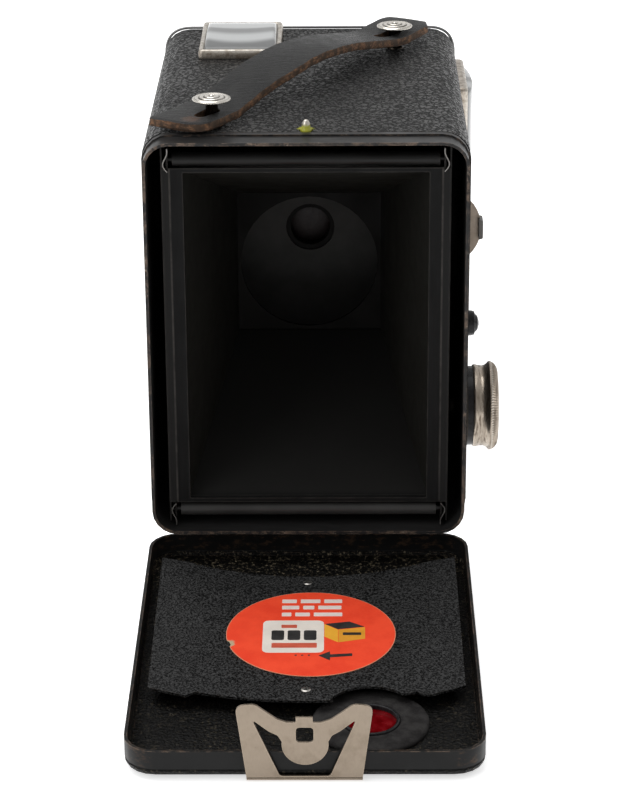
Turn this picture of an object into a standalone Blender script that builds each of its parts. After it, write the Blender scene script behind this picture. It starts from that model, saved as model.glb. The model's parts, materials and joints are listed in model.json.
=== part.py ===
"""A roll-film box camera with its back door hanging open: each piece of the real camera as one closed solid.

Lengths are in millimetres and become metres when a mesh is made. The origin is the centre of the base.
+X is the winding side, +Y points out through the lens and +Z is up. The door's pieces are drawn closed,
and their parent empty, on the hinge pin, turns them open.
"""

import math

import bmesh
import bpy
from mathutils import Matrix, Vector

MM = 0.001

# Body: a square tube of sheet steel with a covering, a bare collar at the back and a plate at the front
HALF_WIDTH = 38.0
HEIGHT = 98.9
BACK_RIM_Y = -53.2
COVER_BACK_Y = -45.5
COVER_FRONT_Y = 51.2
FRONT_Y = 53.2
CORNER = 6.4
CORNER_STEPS = 5
COLLAR_STEP = 0.4
SHEET = 0.7
COVER_PROUD = 0.25
SHOULDER_Y = (-47.6, -45.8)

# Film gate, spools and rollers
GATE_Y = -49.4
GATE_HALF_WIDTH = 28.5
GATE_Z = (8.3, 90.3)
CARRIER_SHEET = 0.6
SIDE_PLATE_X = (33.2, 33.6)
CARRIER_FRONT_Y = 12.0
PARTITION_Y = 7.0
CONE_END_HALF = 18.2
LENS_Z = 49.2
PARTITION_HOLE = 17.45
ROLLER_RADIUS = 1.6
ROLLER_Y = GATE_Y + ROLLER_RADIUS
ROLLER_HALF = 30.9
ROLLER_Z = (4.9, 93.2)
SPOOL_Y = -1.5
TAKE_UP_Z = 12.9
SUPPLY_Z = 84.5
SPOOL_HALF = 32.3
SPOOL_FLANGE = 11.2
SPOOL_CORE = 3.6
SPOOL_BORE = 2.1
KEY_TIP_X = 28.0

# Winding knob
COLLAR_X = (38.6, 42.3)
COLLAR_RADIUS = 10.2
DRUM_RADIUS = 10.6
FLANGE_X = (45.35, 48.2)
FLANGE_RADIUS = 11.45
KNURLS = 36
SHAFT_RADIUS = 1.9
BUSH_RADIUS = 3.2

# Shutter, lens and release
LENS_BOARD_Y = (35.4, 36.1)
SHUTTER_PLATE_Y = (47.0, 47.8)
LEVER_PIVOT = (35.0, 46.0)
LEVER_Y = (43.9, 44.7)
LEVER_RADIUS = 10.9
DISC_PIVOT = (13.0, LENS_Z)
DISC_RADIUS = 19.0
DISC_Y = (45.6, 46.1)
DISC_WINDOW_ANGLE = 130.0
BUTTON_Y = 41.0
BUTTON_Z = 19.8
BUTTON_RADIUS = 3.45

# Brilliant finders: one in the top, one in the winding side
TOP_FINDER_X = (-28.0, -7.0)
SIDE_FINDER_Z = (70.0, 91.0)
FINDER_Y = (20.5, 50.5)
FRAME_BORDER = 2.0
FRAME_PROUD = 2.3
TOP_OBJECTIVE = (-17.5, 85.5)
SIDE_OBJECTIVE = (24.0, 80.5)
OBJECTIVE_RADIUS = 5.2

# Carrying strap on two headed studs
STUD_AT = ((-22.0, -37.5), (22.0, 31.2))
STUD_TOP = 105.7
STUD_HEAD = 4.55
STUD_NECK = 1.45
STRAP_WIDTH = 14.7
STRAP_THICK = 2.2
STRAP_ARCH = 5.4
STRAP_FRONT_LIFT = 1.4
STRAP_OVERHANG = (11.5, 14.5)
STRAP_OFFSET = 2.2
LATCH_STUD_Y = -44.2
LATCH_STUD_RADIUS = 1.3

# Back door, drawn closed: a pan that slips over the collar
DOOR_OPEN = math.radians(92.5)
PIN_Y = -46.4
PIN_Z = -0.8
DOOR_PIVOT = (0.0, PIN_Y, PIN_Z)
KNUCKLES = (14.0, 20.0, 26.3)
LEAF_HALF = 27.0
LEAF_FRONT_Y = -39.8
DOOR_HALF_WIDTH = 38.55
DOOR_Z = (-0.55, 99.45)
DOOR_BACK_Y = -54.2
DOOR_EDGE_Y = -48.0
DOOR_CORNER = 6.95
BARREL_RADIUS = 0.9
PIN_RADIUS = 0.5
PLATE_FACE = -3.35
PLATE_THICK = 0.6
PLATE_HALF_WIDTH = 35.3
HOLLOW_RADIUS = 58.5
BOW_RADIUS = 80.0
LABEL_AT = (0.9, 47.1)
LABEL_RADIUS = 19.4
WINDOW_AT = (14.2, 80.3)
WINDOW_RADIUS = 5.4
FELT_RADIUS = 12.9
LATCH_INNER = 100.35
LATCH_THICK = 0.6
LATCH_FOOT = -7.6
LATCH_FLANGE_HALF = 12.1
LATCH_FLANGE_DEPTH = 2.2
GAP = 0.1


def clear_scene():
    for thing in list(bpy.data.objects):
        bpy.data.objects.remove(thing)


def material(name, colour, roughness, metallic=0.0):
    made = bpy.data.materials.new(name)
    made.use_nodes = True
    shader = made.node_tree.nodes["Principled BSDF"]
    shader.inputs["Base Color"].default_value = (*colour, 1.0)
    shader.inputs["Roughness"].default_value = roughness
    shader.inputs["Metallic"].default_value = metallic
    made.diffuse_color = (*colour, 1.0)
    return made


def solid(name, mesh, look, pivot=(0.0, 0.0, 0.0), parent=None):
    """An object from a bmesh in millimetres, with its origin at the pivot."""
    bmesh.ops.recalc_face_normals(mesh, faces=mesh.faces)
    bmesh.ops.translate(mesh, vec=-Vector(pivot), verts=mesh.verts)
    bmesh.ops.scale(mesh, vec=(MM, MM, MM), verts=mesh.verts)
    data = bpy.data.meshes.new(name)
    mesh.to_mesh(data)
    mesh.free()
    data.shade_smooth()
    data.set_sharp_from_angle(angle=math.radians(35))
    made = bpy.data.objects.new(name, data)
    bpy.context.scene.collection.objects.link(made)
    made.location = Vector(pivot) * MM
    if look is not None:
        data.materials.append(look)
    if parent is not None:
        made.parent = parent
        made.matrix_parent_inverse = Matrix.Translation(-Vector(DOOR_PIVOT) * MM)
    return made


def shape(target, cutter_mesh, operation):
    """A live Boolean between an object and a hidden helper drawn in the same millimetres."""
    count = len(target.modifiers)
    helper = solid(f"{target.name}_{operation.lower()}_{count}", cutter_mesh, None)
    helper.hide_render = True
    helper.display_type = "WIRE"
    if target.parent is not None:
        helper.parent = target.parent
        helper.matrix_parent_inverse = target.matrix_parent_inverse.copy()
    step = target.modifiers.new(helper.name, "BOOLEAN")
    step.operation = operation
    step.object = helper
    step.solver = "EXACT"
    return target


def cut(target, *cutters):
    for cutter in cutters:
        shape(target, cutter, "DIFFERENCE")
    return target


def join(target, *others):
    for other in others:
        shape(target, other, "UNION")
    return target


# Outlines


def rounded_rectangle(low, high, radius, steps=CORNER_STEPS):
    """Points round a rectangle from low to high, two-dimensional, with each corner an arc."""
    centres = (
        (high[0] - radius, high[1] - radius),
        (low[0] + radius, high[1] - radius),
        (low[0] + radius, low[1] + radius),
        (high[0] - radius, low[1] + radius),
    )
    points = []
    for corner, (a, b) in enumerate(centres):
        for step in range(steps + 1):
            angle = math.radians(90 * (corner + step / steps))
            points.append((a + radius * math.cos(angle), b + radius * math.sin(angle)))
    return points


def arc(centre, radius, start, end, steps):
    """Points along an arc, angles in degrees."""
    points = []
    for step in range(steps + 1):
        angle = math.radians(start + (end - start) * step / steps)
        points.append((centre[0] + radius * math.cos(angle), centre[1] + radius * math.sin(angle)))
    return points


def circle(centre, radius, steps=32):
    return arc(centre, radius, 0, 360, steps)[:-1]


# Meshes


def placed(plane, a, b, depth):
    """A point with outline coordinates a, b on a plane named by its normal, at a depth along that normal."""
    if plane == "X":
        return (depth, a, b)
    if plane == "Y":
        return (a, depth, b)
    return (a, b, depth)


def stacked(loops, capped=True):
    """A skin over loops of equal length; the ends are capped, or joined to each other to make a ring."""
    mesh = bmesh.new()
    rings = [[mesh.verts.new(point) for point in loop] for loop in loops]
    count = len(rings[0])
    pairs = list(zip(rings, rings[1:]))
    if capped:
        mesh.faces.new(rings[0][::-1])
        mesh.faces.new(rings[-1])
    else:
        pairs.append((rings[-1], rings[0]))
    for first, second in pairs:
        for i in range(count):
            j = (i + 1) % count
            mesh.faces.new((first[i], first[j], second[j], second[i]))
    return mesh


def slab(outline, low, high, plane="Y"):
    return stacked([[placed(plane, a, b, depth) for a, b in outline] for depth in (low, high)])


def box(low, high):
    corners = [(low[0], low[1]), (high[0], low[1]), (high[0], high[1]), (low[0], high[1])]
    return slab(corners, low[2], high[2], "Z")


def rod(centre, radius, low, high, axis="X", steps=20):
    return slab(circle(centre, radius, steps), low, high, axis)


def turned(profile, centre, axis="X", steps=24, ring=False):
    """A turned solid: profile points are (place along the axis, radius)."""
    loops = [[placed(axis, a, b, along) for a, b in circle(centre, radius, steps)] for along, radius in profile]
    return stacked(loops, capped=not ring)


def body_loop(y, inset):
    low = (-HALF_WIDTH + inset, inset)
    high = (HALF_WIDTH - inset, HEIGHT - inset)
    return [placed("Y", a, b, y) for a, b in rounded_rectangle(low, high, CORNER - inset)]


def door_loop(y, inset):
    low = (-DOOR_HALF_WIDTH + inset, DOOR_Z[0] + inset)
    high = (DOOR_HALF_WIDTH - inset, DOOR_Z[1] - inset)
    return [placed("Y", a, b, y) for a, b in rounded_rectangle(low, high, DOOR_CORNER - inset)]


def in_door(height, distance):
    """Closed-door Y and Z of a point given by its height above the pin line and its distance from it."""
    return PIN_Y + height, PIN_Z + distance


# Body


def wall_openings():
    """Everything that pierces the tube and its covering, as one list of fresh cutters."""
    x0, x1 = HALF_WIDTH - 3.0, HALF_WIDTH + 3.0
    y0, y1 = FINDER_Y[0] + 1.6, FINDER_Y[1] - 1.6
    lever_half = LEVER_RADIUS + 0.5
    cutters = [
        rod((SPOOL_Y, TAKE_UP_Z), BUSH_RADIUS + 0.25, x0, x1),
        rod((BUTTON_Y, BUTTON_Z), BUTTON_RADIUS + 0.3, x0, x1),
        box(
            (x0, LEVER_Y[0] - 0.4, LEVER_PIVOT[1] - lever_half),
            (x1, LEVER_Y[1] + 0.4, LEVER_PIVOT[1] + lever_half),
        ),
        box((x0, y0, SIDE_FINDER_Z[0] + 1.6), (x1, y1, SIDE_FINDER_Z[1] - 1.6)),
        box(
            (TOP_FINDER_X[0] + 1.6, y0, HEIGHT - 3.0),
            (TOP_FINDER_X[1] - 1.6, y1, HEIGHT + 3.0),
        ),
        rod((0.0, LATCH_STUD_Y), 1.0, HEIGHT - 3.0, HEIGHT + 3.0, "Z"),
    ]
    for at in STUD_AT:
        cutters.append(rod(at, 1.2, HEIGHT - 3.0, HEIGHT + 3.0, "Z"))
    return cutters


def make_body(steel, covering, front_black, bright):
    shell = stacked(
        [
            body_loop(BACK_RIM_Y, COLLAR_STEP),
            body_loop(SHOULDER_Y[0], COLLAR_STEP),
            body_loop(SHOULDER_Y[0], 0.0),
            body_loop(SHOULDER_Y[1], 0.0),
            body_loop(SHOULDER_Y[1], COLLAR_STEP),
            body_loop(COVER_FRONT_Y, COLLAR_STEP),
            body_loop(COVER_FRONT_Y, COLLAR_STEP + SHEET),
            body_loop(BACK_RIM_Y, COLLAR_STEP + SHEET),
        ],
        capped=False,
    )
    shell = solid("body_shell", shell, steel)
    cut(shell, *wall_openings())
    notch = KNUCKLES[2] + 0.3
    for side in (-1, 1):
        low, high = sorted((side * (KNUCKLES[0] - 0.3), side * notch))
        cut(shell, box((low, PIN_Y - 1.1, -1.0), (high, SHOULDER_Y[1] + 0.1, COLLAR_STEP - 0.01)))
        cut(shell, box((low, PIN_Y - 1.6, -1.0), (high, PIN_Y - 1.0, COLLAR_STEP - 0.01)))

    side = COVER_PROUD
    cover = stacked(
        [
            body_loop(COVER_BACK_Y, COLLAR_STEP - 0.07),
            body_loop(COVER_FRONT_Y, COLLAR_STEP - 0.07),
            body_loop(COVER_FRONT_Y, 0.0),
            body_loop(COVER_BACK_Y, 0.0),
        ],
        capped=False,
    )
    for vertex in cover.verts:
        vertex.co.x *= 1 + side / HALF_WIDTH
    cover = solid("leatherette_cover", cover, covering)
    cut(cover, *wall_openings())
    cut(
        cover,
        rod((0.0, LATCH_STUD_Y), LATCH_STUD_RADIUS + 0.4, HEIGHT - 2.0, HEIGHT + 2.0, "Z"),
        box((-LEAF_HALF - 0.2, COVER_BACK_Y - 1.0, -1.0), (LEAF_HALF + 0.2, LEAF_FRONT_Y + 0.2, 1.0)),
    )

    inset = 0.2
    panel = stacked(
        [
            body_loop(COVER_FRONT_Y + 0.3, inset),
            body_loop(FRONT_Y - 0.6, inset),
            body_loop(FRONT_Y, inset + 0.6),
        ]
    )
    panel = solid("front_panel", panel, front_black)
    reach = COLLAR_STEP + SHEET + 0.2
    skirt = stacked(
        [
            body_loop(49.7, reach),
            body_loop(COVER_FRONT_Y + 0.8, reach),
            body_loop(COVER_FRONT_Y + 0.8, reach + 0.6),
            body_loop(49.7, reach + 0.6),
        ],
        capped=False,
    )
    join(panel, skirt)
    cut(
        panel,
        rod((0.0, LENS_Z), 9.6, 48.0, 56.0, "Y", 36),
        rod(TOP_OBJECTIVE, OBJECTIVE_RADIUS + 0.15, 48.0, 56.0, "Y"),
        rod(SIDE_OBJECTIVE, OBJECTIVE_RADIUS + 0.15, 48.0, 56.0, "Y"),
    )
    trim = [(53.3, 9.3), (54.4, 9.6), (54.6, 10.2), (54.4, 11.6), (53.3, 12.4)]
    solid("lens_trim_ring", turned(trim, (0.0, LENS_Z), "Y", 28, ring=True), bright)
    stud = [
        (97.0, 0.8),
        (99.0, 0.8),
        (99.0, LATCH_STUD_RADIUS),
        (101.1, LATCH_STUD_RADIUS),
        (101.5, LATCH_STUD_RADIUS - 0.5),
    ]
    solid("latch_stud", turned(stud, (0.0, LATCH_STUD_Y), "Z", 20), bright)


# Film carrier: gate, light cone, partition and side plates folded from one sheet


def make_carrier(black):
    low_z, high_z = GATE_Z[0] - 1.1, GATE_Z[1] + 1.1
    reach = SIDE_PLATE_X[0] + 0.2
    gate = box((-reach, GATE_Y, low_z), (reach, GATE_Y + CARRIER_SHEET, high_z))
    carrier = solid("film_carrier", gate, black)

    lip = 0.4
    start, end = GATE_Y + 0.3, PARTITION_Y + 0.4
    middle = (GATE_Z[0] + GATE_Z[1]) / 2
    sheet = CARRIER_SHEET

    def cone_loop(y, grow):
        share = (y - start) / (end - start)
        half_x = (GATE_HALF_WIDTH + lip) * (1 - share) + CONE_END_HALF * share + grow
        half_z = (middle - GATE_Z[0] + lip) * (1 - share) + CONE_END_HALF * share + grow
        corners = ((half_x, half_z), (-half_x, half_z), (-half_x, -half_z), (half_x, -half_z))
        return [(a, y, middle + b) for a, b in corners]

    cone = stacked(
        [cone_loop(start, 0.0), cone_loop(start, sheet), cone_loop(end, sheet), cone_loop(end, 0.0)],
        capped=False,
    )
    clear = SPOOL_FLANGE + 0.8
    partition = box(
        (-reach, PARTITION_Y, TAKE_UP_Z + clear),
        (reach, PARTITION_Y + 0.8, SUPPLY_Z - clear),
    )
    join(carrier, cone, partition)
    for side in (-1, 1):
        inner, outer = sorted((side * SIDE_PLATE_X[0], side * SIDE_PLATE_X[1]))
        join(carrier, box((inner, GATE_Y + 0.2, 2.2), (outer, CARRIER_FRONT_Y, HEIGHT - 2.2)))
        ear = sorted((side * 31.9, side * 32.3))
        join(
            carrier,
            box((ear[0], GATE_Y + 0.2, 2.7), (ear[1], -45.4, low_z + 0.4)),
            box((ear[0], GATE_Y + 0.2, high_z - 0.4), (ear[1], -45.4, 95.9)),
        )
    opening = box(
        (-GATE_HALF_WIDTH, GATE_Y - 2.0, GATE_Z[0]),
        (GATE_HALF_WIDTH, GATE_Y + 1.5, GATE_Z[1]),
    )
    cut(carrier, opening, rod((0.0, LENS_Z), PARTITION_HOLE, 5.0, 10.0, "Y", 40))
    for z in ROLLER_Z:
        cut(carrier, rod((ROLLER_Y, z), 0.68, -32.9, 32.9, steps=16))
    for z in (SUPPLY_Z, TAKE_UP_Z):
        cut(carrier, rod((SPOOL_Y, z), SHAFT_RADIUS + 0.2, -35.0, -31.0))
    cut(carrier, rod((SPOOL_Y, SUPPLY_Z), SHAFT_RADIUS + 0.2, 31.0, 35.0))
    cut(carrier, rod((SPOOL_Y, TAKE_UP_Z), BUSH_RADIUS + 0.3, 31.0, 35.0))

    for name, z in zip(("lower_roller", "upper_roller"), ROLLER_Z):
        end = ROLLER_HALF + 1.7
        profile = [
            (-end, 0.6),
            (-ROLLER_HALF, 0.6),
            (-ROLLER_HALF, ROLLER_RADIUS),
            (ROLLER_HALF, ROLLER_RADIUS),
            (ROLLER_HALF, 0.6),
            (end, 0.6),
        ]
        solid(name, turned(profile, (ROLLER_Y, z), "X", 20), black, (0.0, ROLLER_Y, z))


def make_spool(black, nickel):
    half, flange, core = SPOOL_HALF, SPOOL_FLANGE, SPOOL_CORE
    profile = [
        (-half, flange),
        (-half + 0.5, flange),
        (-half + 1.0, core),
        (half - 1.0, core),
        (half - 0.5, flange),
        (half, flange),
    ]
    centre = (SPOOL_Y, TAKE_UP_Z)
    spool = solid("take_up_spool", turned(profile, centre, "X", 28), black, (0.0, *centre))
    cut(
        spool,
        rod(centre, SPOOL_BORE, -half - 1.0, -half + 7.0, steps=20),
        rod(centre, SPOOL_BORE, half - 7.0, half + 1.0, steps=20),
        box((half - 7.0, SPOOL_Y - 3.0, TAKE_UP_Z - 0.8), (half + 1.0, SPOOL_Y + 3.0, TAKE_UP_Z + 0.8)),
        box((-22.0, SPOOL_Y - 9.0, TAKE_UP_Z - 0.7), (22.0, SPOOL_Y + 9.0, TAKE_UP_Z + 0.7)),
    )
    pins = (
        ("lower_left_spool_pin", -1, TAKE_UP_Z),
        ("upper_left_spool_pin", -1, SUPPLY_Z),
        ("upper_right_spool_pin", 1, SUPPLY_Z),
    )
    for name, side, z in pins:
        outer = SIDE_PLATE_X[1]
        profile = [
            (side * 28.5, 1.3),
            (side * 29.0, SHAFT_RADIUS),
            (side * (outer + 0.1), SHAFT_RADIUS),
            (side * (outer + 0.1), 3.2),
            (side * (outer + 1.4), 2.6),
        ]
        solid(name, turned(profile, (SPOOL_Y, z), "X", 20), nickel)


# Winding knob: it pulls out on its bush to free the spool, and turns in it


def make_winder(black, nickel):
    centre = (SPOOL_Y, TAKE_UP_Z)
    pivot = (0.0, *centre)
    bore = BUSH_RADIUS + 0.08
    collar = [
        (COLLAR_X[0], bore),
        (COLLAR_X[0], COLLAR_RADIUS),
        (COLLAR_X[1] - 0.3, COLLAR_RADIUS),
        (COLLAR_X[1], COLLAR_RADIUS - 0.3),
        (COLLAR_X[1], bore),
    ]
    solid("winder_collar", turned(collar, centre, "X", 28, ring=True), black)
    bush = [
        (34.2, SHAFT_RADIUS + 0.08),
        (34.2, BUSH_RADIUS),
        (COLLAR_X[1] - 0.2, BUSH_RADIUS),
        (COLLAR_X[1] - 0.2, SHAFT_RADIUS + 0.08),
    ]
    solid("winder_bush", turned(bush, centre, "X", 24, ring=True), nickel, pivot)

    drum_low = COLLAR_X[1] + 0.3
    profile = [
        (32.8, SHAFT_RADIUS),
        (drum_low, SHAFT_RADIUS),
        (drum_low, DRUM_RADIUS),
        (44.0, DRUM_RADIUS - 0.35),
        (FLANGE_X[0] + 0.2, DRUM_RADIUS - 0.2),
        (FLANGE_X[0] + 0.2, DRUM_RADIUS - 1.0),
    ]
    knob = solid("winding_knob", turned(profile, centre, "X", 32), nickel, pivot)
    outline = []
    for i in range(2 * KNURLS):
        radius = FLANGE_RADIUS - 0.3 * (i % 2)
        angle = math.pi * i / KNURLS
        outline.append((centre[0] + radius * math.cos(angle), centre[1] + radius * math.sin(angle)))
    join(
        knob,
        slab(outline, FLANGE_X[0], FLANGE_X[1], "X"),
        box((KEY_TIP_X, SPOOL_Y - 2.6, TAKE_UP_Z - 0.5), (33.4, SPOOL_Y + 2.6, TAKE_UP_Z + 0.5)),
    )
    dish = [(FLANGE_X[1] - 0.6, 7.6), (FLANGE_X[1] + 0.4, 8.8)]
    cut(knob, turned(dish, centre))


# Lens, shutter and release


def make_optics(black, glass, nickel, brass):
    at = (0.0, LENS_Z)
    board = solid(
        "lens_board",
        slab(rounded_rectangle((-36.6, 1.4), (36.6, 69.5), 5.4), *LENS_BOARD_Y),
        black,
    )
    cut(board, rod(at, 6.4, 30.0, 40.0, "Y", 28))
    cell = [(36.3, 5.2), (36.3, 8.0), (43.4, 8.0), (43.4, 6.3), (39.4, 6.3), (39.4, 5.2)]
    solid("lens_cell", turned(cell, at, "Y", 24, ring=True), brass)

    lens = [(40.2, 0.4), (40.25, 2.5), (40.6, 4.4), (41.1, 6.0), (42.0, 6.0), (42.3, 4.0), (42.5, 0.4)]
    solid("taking_lens", turned(lens, at, "Y", 28), glass)

    plate = solid(
        "shutter_plate",
        slab(rounded_rectangle((-36.4, 22.0), (36.4, 69.5), 3.0), *SHUTTER_PLATE_Y),
        black,
    )
    cut(plate, rod(at, 5.5, 45.0, 50.0, "Y", 24))
    for pivot, start in ((LEVER_PIVOT, 43.5), (DISC_PIVOT, 45.2)):
        post = 1.1
        join(plate, rod(pivot, post, start, SHUTTER_PLATE_Y[1] - 0.2, "Y", 16))

    disc = solid(
        "shutter_disc",
        slab(circle(DISC_PIVOT, DISC_RADIUS, 32), *DISC_Y),
        nickel,
        (DISC_PIVOT[0], DISC_Y[0], DISC_PIVOT[1]),
    )
    angle = math.radians(DISC_WINDOW_ANGLE)
    reach = DISC_PIVOT[0]
    window = (DISC_PIVOT[0] + reach * math.cos(angle), DISC_PIVOT[1] + reach * math.sin(angle))
    cut(disc, rod(DISC_PIVOT, 1.18, 44.0, 48.0, "Y", 16), rod(window, 5.3, 44.0, 48.0, "Y", 24))

    outline = arc(LEVER_PIVOT, LEVER_RADIUS, -90, 90, 20)
    outline += [(31.5, LEVER_PIVOT[1] + 7.0), (29.0, LEVER_PIVOT[1] + 2.0), (29.0, LEVER_PIVOT[1] - 3.0)]
    pivot = (LEVER_PIVOT[0], LEVER_Y[0], LEVER_PIVOT[1])
    lever = solid("release_lever", slab(outline, *LEVER_Y), nickel, pivot)
    tip = LEVER_PIVOT[0] + LEVER_RADIUS
    join(lever, box((tip - 0.5, 42.0, LEVER_PIVOT[1] - 2.25), (tip + 0.4, 46.6, LEVER_PIVOT[1] + 2.25)))
    cut(lever, rod(LEVER_PIVOT, 1.18, 43.0, 46.0, "Y", 16))

    curve = bpy.data.curves.new("shutter_spring", "CURVE")
    curve.dimensions = "3D"
    curve.bevel_depth = 0.25 * MM
    curve.bevel_resolution = 1
    curve.use_fill_caps = True
    coil = []
    turns, per_turn = 2.5, 10
    for step in range(int(turns * per_turn) + 1):
        angle = 2 * math.pi * step / per_turn
        coil.append((20.0 + 1.6 * math.cos(angle), 41.0 + 0.8 * step / per_turn, 60.0 + 1.6 * math.sin(angle)))
    route = [(27.0, 41.0, 57.0), *coil, (11.0, 43.0, 60.0)]
    spline = curve.splines.new("POLY")
    spline.points.add(len(route) - 1)
    for point, place in zip(spline.points, route):
        point.co = (*(value * MM for value in place), 1.0)
    spring = bpy.data.objects.new("shutter_spring", curve)
    curve.materials.append(nickel)
    bpy.context.scene.collection.objects.link(spring)

    centre = (BUTTON_Y, BUTTON_Z)
    radius = BUTTON_RADIUS
    profile = [
        (34.6, 4.5),
        (35.6, 4.5),
        (35.6, radius),
        (43.4, radius),
        (44.3, radius - 0.25),
        (44.3, radius - 0.75),
        (45.1, radius - 1.5),
        (45.5, 0.6),
    ]
    solid("time_button", turned(profile, centre, "X", 20), black, (0.0, *centre))


# Brilliant finders: frame, lens, mirror, housing and front objective


def pillow(low, high, base, edge_rise, rise, plane):
    """A lens with a rectangular outline: flat below, a shallow dome above."""
    count = 6
    mesh = bmesh.new()
    grids = []
    for top in (False, True):
        rows = []
        for i in range(count + 1):
            row = []
            for j in range(count + 1):
                u, v = 2 * i / count - 1, 2 * j / count - 1
                a = (low[0] + high[0]) / 2 + u * (high[0] - low[0]) / 2
                b = (low[1] + high[1]) / 2 + v * (high[1] - low[1]) / 2
                dome = edge_rise + rise * (1 - u * u) ** 0.6 * (1 - v * v) ** 0.6
                row.append(mesh.verts.new(placed(plane, a, b, base + (dome if top else 0.0))))
            rows.append(row)
        grids.append(rows)
    below, above = grids
    for i in range(count):
        for j in range(count):
            for rows in grids:
                mesh.faces.new((rows[i][j], rows[i + 1][j], rows[i + 1][j + 1], rows[i][j + 1]))
    rim = [(i, 0) for i in range(count)] + [(count, j) for j in range(count)]
    rim += [(i, count) for i in range(count, 0, -1)] + [(0, j) for j in range(count, 0, -1)]
    for (i, j), (k, m) in zip(rim, rim[1:] + rim[:1]):
        mesh.faces.new((below[i][j], below[k][m], above[k][m], above[i][j]))
    return mesh


def make_finder(name, plane, low, high, surface, objective, looks):
    """One finder: low and high bound its frame on the wall, surface is the wall's outer face."""
    frame_look, glass, mirror_look, black = looks
    inner_low = (low[0] + FRAME_BORDER, low[1] + FRAME_BORDER)
    inner_high = (high[0] - FRAME_BORDER, high[1] - FRAME_BORDER)
    top = surface + FRAME_PROUD

    def loop(depth, grow):
        a = (inner_low[0] - grow, inner_low[1] - grow)
        b = (inner_high[0] + grow, inner_high[1] + grow)
        return [placed(plane, p, q, depth) for p, q in rounded_rectangle(a, b, 0.9 + grow / 2, 3)]

    frame = stacked(
        [
            loop(surface + GAP, 0.0),
            loop(surface + GAP, FRAME_BORDER),
            loop(top - 0.5, FRAME_BORDER),
            loop(top, FRAME_BORDER - 0.5),
            loop(top, 0.6),
            loop(top - 0.7, 0.0),
        ],
        capped=False,
    )
    solid(f"{name}_frame", frame, frame_look)
    lens = pillow(
        (inner_low[0] + 0.4, inner_low[1] + 0.4),
        (inner_high[0] - 0.4, inner_high[1] - 0.4),
        surface + 0.5,
        1.1,
        2.6,
        plane,
    )
    solid(f"{name}_lens", lens, glass)
    profile = [(50.4, 4.0), (50.8, OBJECTIVE_RADIUS), (52.2, OBJECTIVE_RADIUS), (53.0, 3.4), (53.3, 0.5)]
    solid(f"{name}_objective", turned(profile, objective, "Y", 24), glass)

    across = (inner_low[0] - 0.6, inner_high[0] + 0.6) if plane == "Z" else (inner_low[1] - 0.6, inner_high[1] + 0.6)
    depth = HEIGHT - 2.1 if plane == "Z" else HALF_WIDTH - 1.4
    back, front = FINDER_Y[0] + 1.9, 49.4
    side = front - back
    sheet = 0.5
    slant = sheet * math.sqrt(2)

    def prism(points, low_end, high_end):
        """Points are (y, depth); the prism runs across the finder."""
        if plane == "Z":
            return slab(points, low_end, high_end, "X")
        return slab([(p[1], p[0]) for p in points], low_end, high_end, "Z")

    housing = prism([(back, depth), (front, depth), (front, depth - side)], *across)
    housing = solid(f"{name}_housing", housing, black)
    hollow = [
        (back + slant, depth + 1.0),
        (back + slant, depth),
        (front, depth - side + slant),
        (front + 1.0, depth - side + slant),
        (front + 1.0, depth + 1.0),
    ]
    cut(housing, prism(hollow, across[0] + sheet, across[1] - sheet))
    face = slant + 0.15
    glass_back = slant + 0.15 + 1.0
    mirror = [
        (back + face + 0.8, depth - 0.8),
        (front - 0.8, depth - side + face + 0.8),
        (front - 0.8, depth - side + glass_back + 0.8),
        (back + glass_back + 0.8, depth - 0.8),
    ]
    solid(
        f"{name}_mirror",
        prism(mirror, across[0] + sheet + 0.3, across[1] - sheet - 0.3),
        mirror_look,
    )


# Strap and its studs


def strap_frame():
    first, second = (Vector(at) for at in STUD_AT)
    along = (second - first).normalized()
    return first, along, Vector((-along.y, along.x)), (second - first).length


def make_strap(leather, nickel):
    first, along, sideways, span = strap_frame()
    stations = 26
    rear, front = STRAP_OVERHANG
    loops = []
    for i in range(stations + 1):
        place = -rear + (span + rear + front) * i / stations
        to_end = min(place + rear, span + front - place)
        half = STRAP_WIDTH / 2
        if to_end < half:
            half = math.sqrt(max(half * half - (half - to_end) ** 2, 2.5))
        share = min(max((place - 4.0) / (span - 8.0), 0.0), 1.0)
        lift = STRAP_FRONT_LIFT * share * share
        low = HEIGHT + 0.3 + lift + STRAP_ARCH * math.sin(math.pi * share) ** 1.2
        centre = first + along * place + sideways * STRAP_OFFSET
        left, right = centre + sideways * half, centre - sideways * half
        high = low + STRAP_THICK
        loops.append([(*left, low), (*left, high), (*right, high), (*right, low)])
    strap = solid("carrying_strap", stacked(loops), leather)
    for at in STUD_AT:
        cut(strap, rod(at, STUD_NECK + 0.4, HEIGHT - 1.0, HEIGHT + 8.0, "Z"))
    for name, at in zip(("rear_strap_stud", "front_strap_stud"), STUD_AT):
        top = STUD_TOP
        profile = [
            (96.6, 2.0),
            (97.6, 2.0),
            (97.6, 1.0),
            (HEIGHT + 0.15, 1.0),
            (HEIGHT + 0.15, STUD_NECK),
            (top - 1.9, STUD_NECK),
            (top - 1.3, STUD_HEAD),
            (top - 0.6, STUD_HEAD),
            (top, STUD_HEAD - 1.6),
        ]
        solid(name, turned(profile, at, "Z", 20), nickel)


# Hinge and back door


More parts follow.
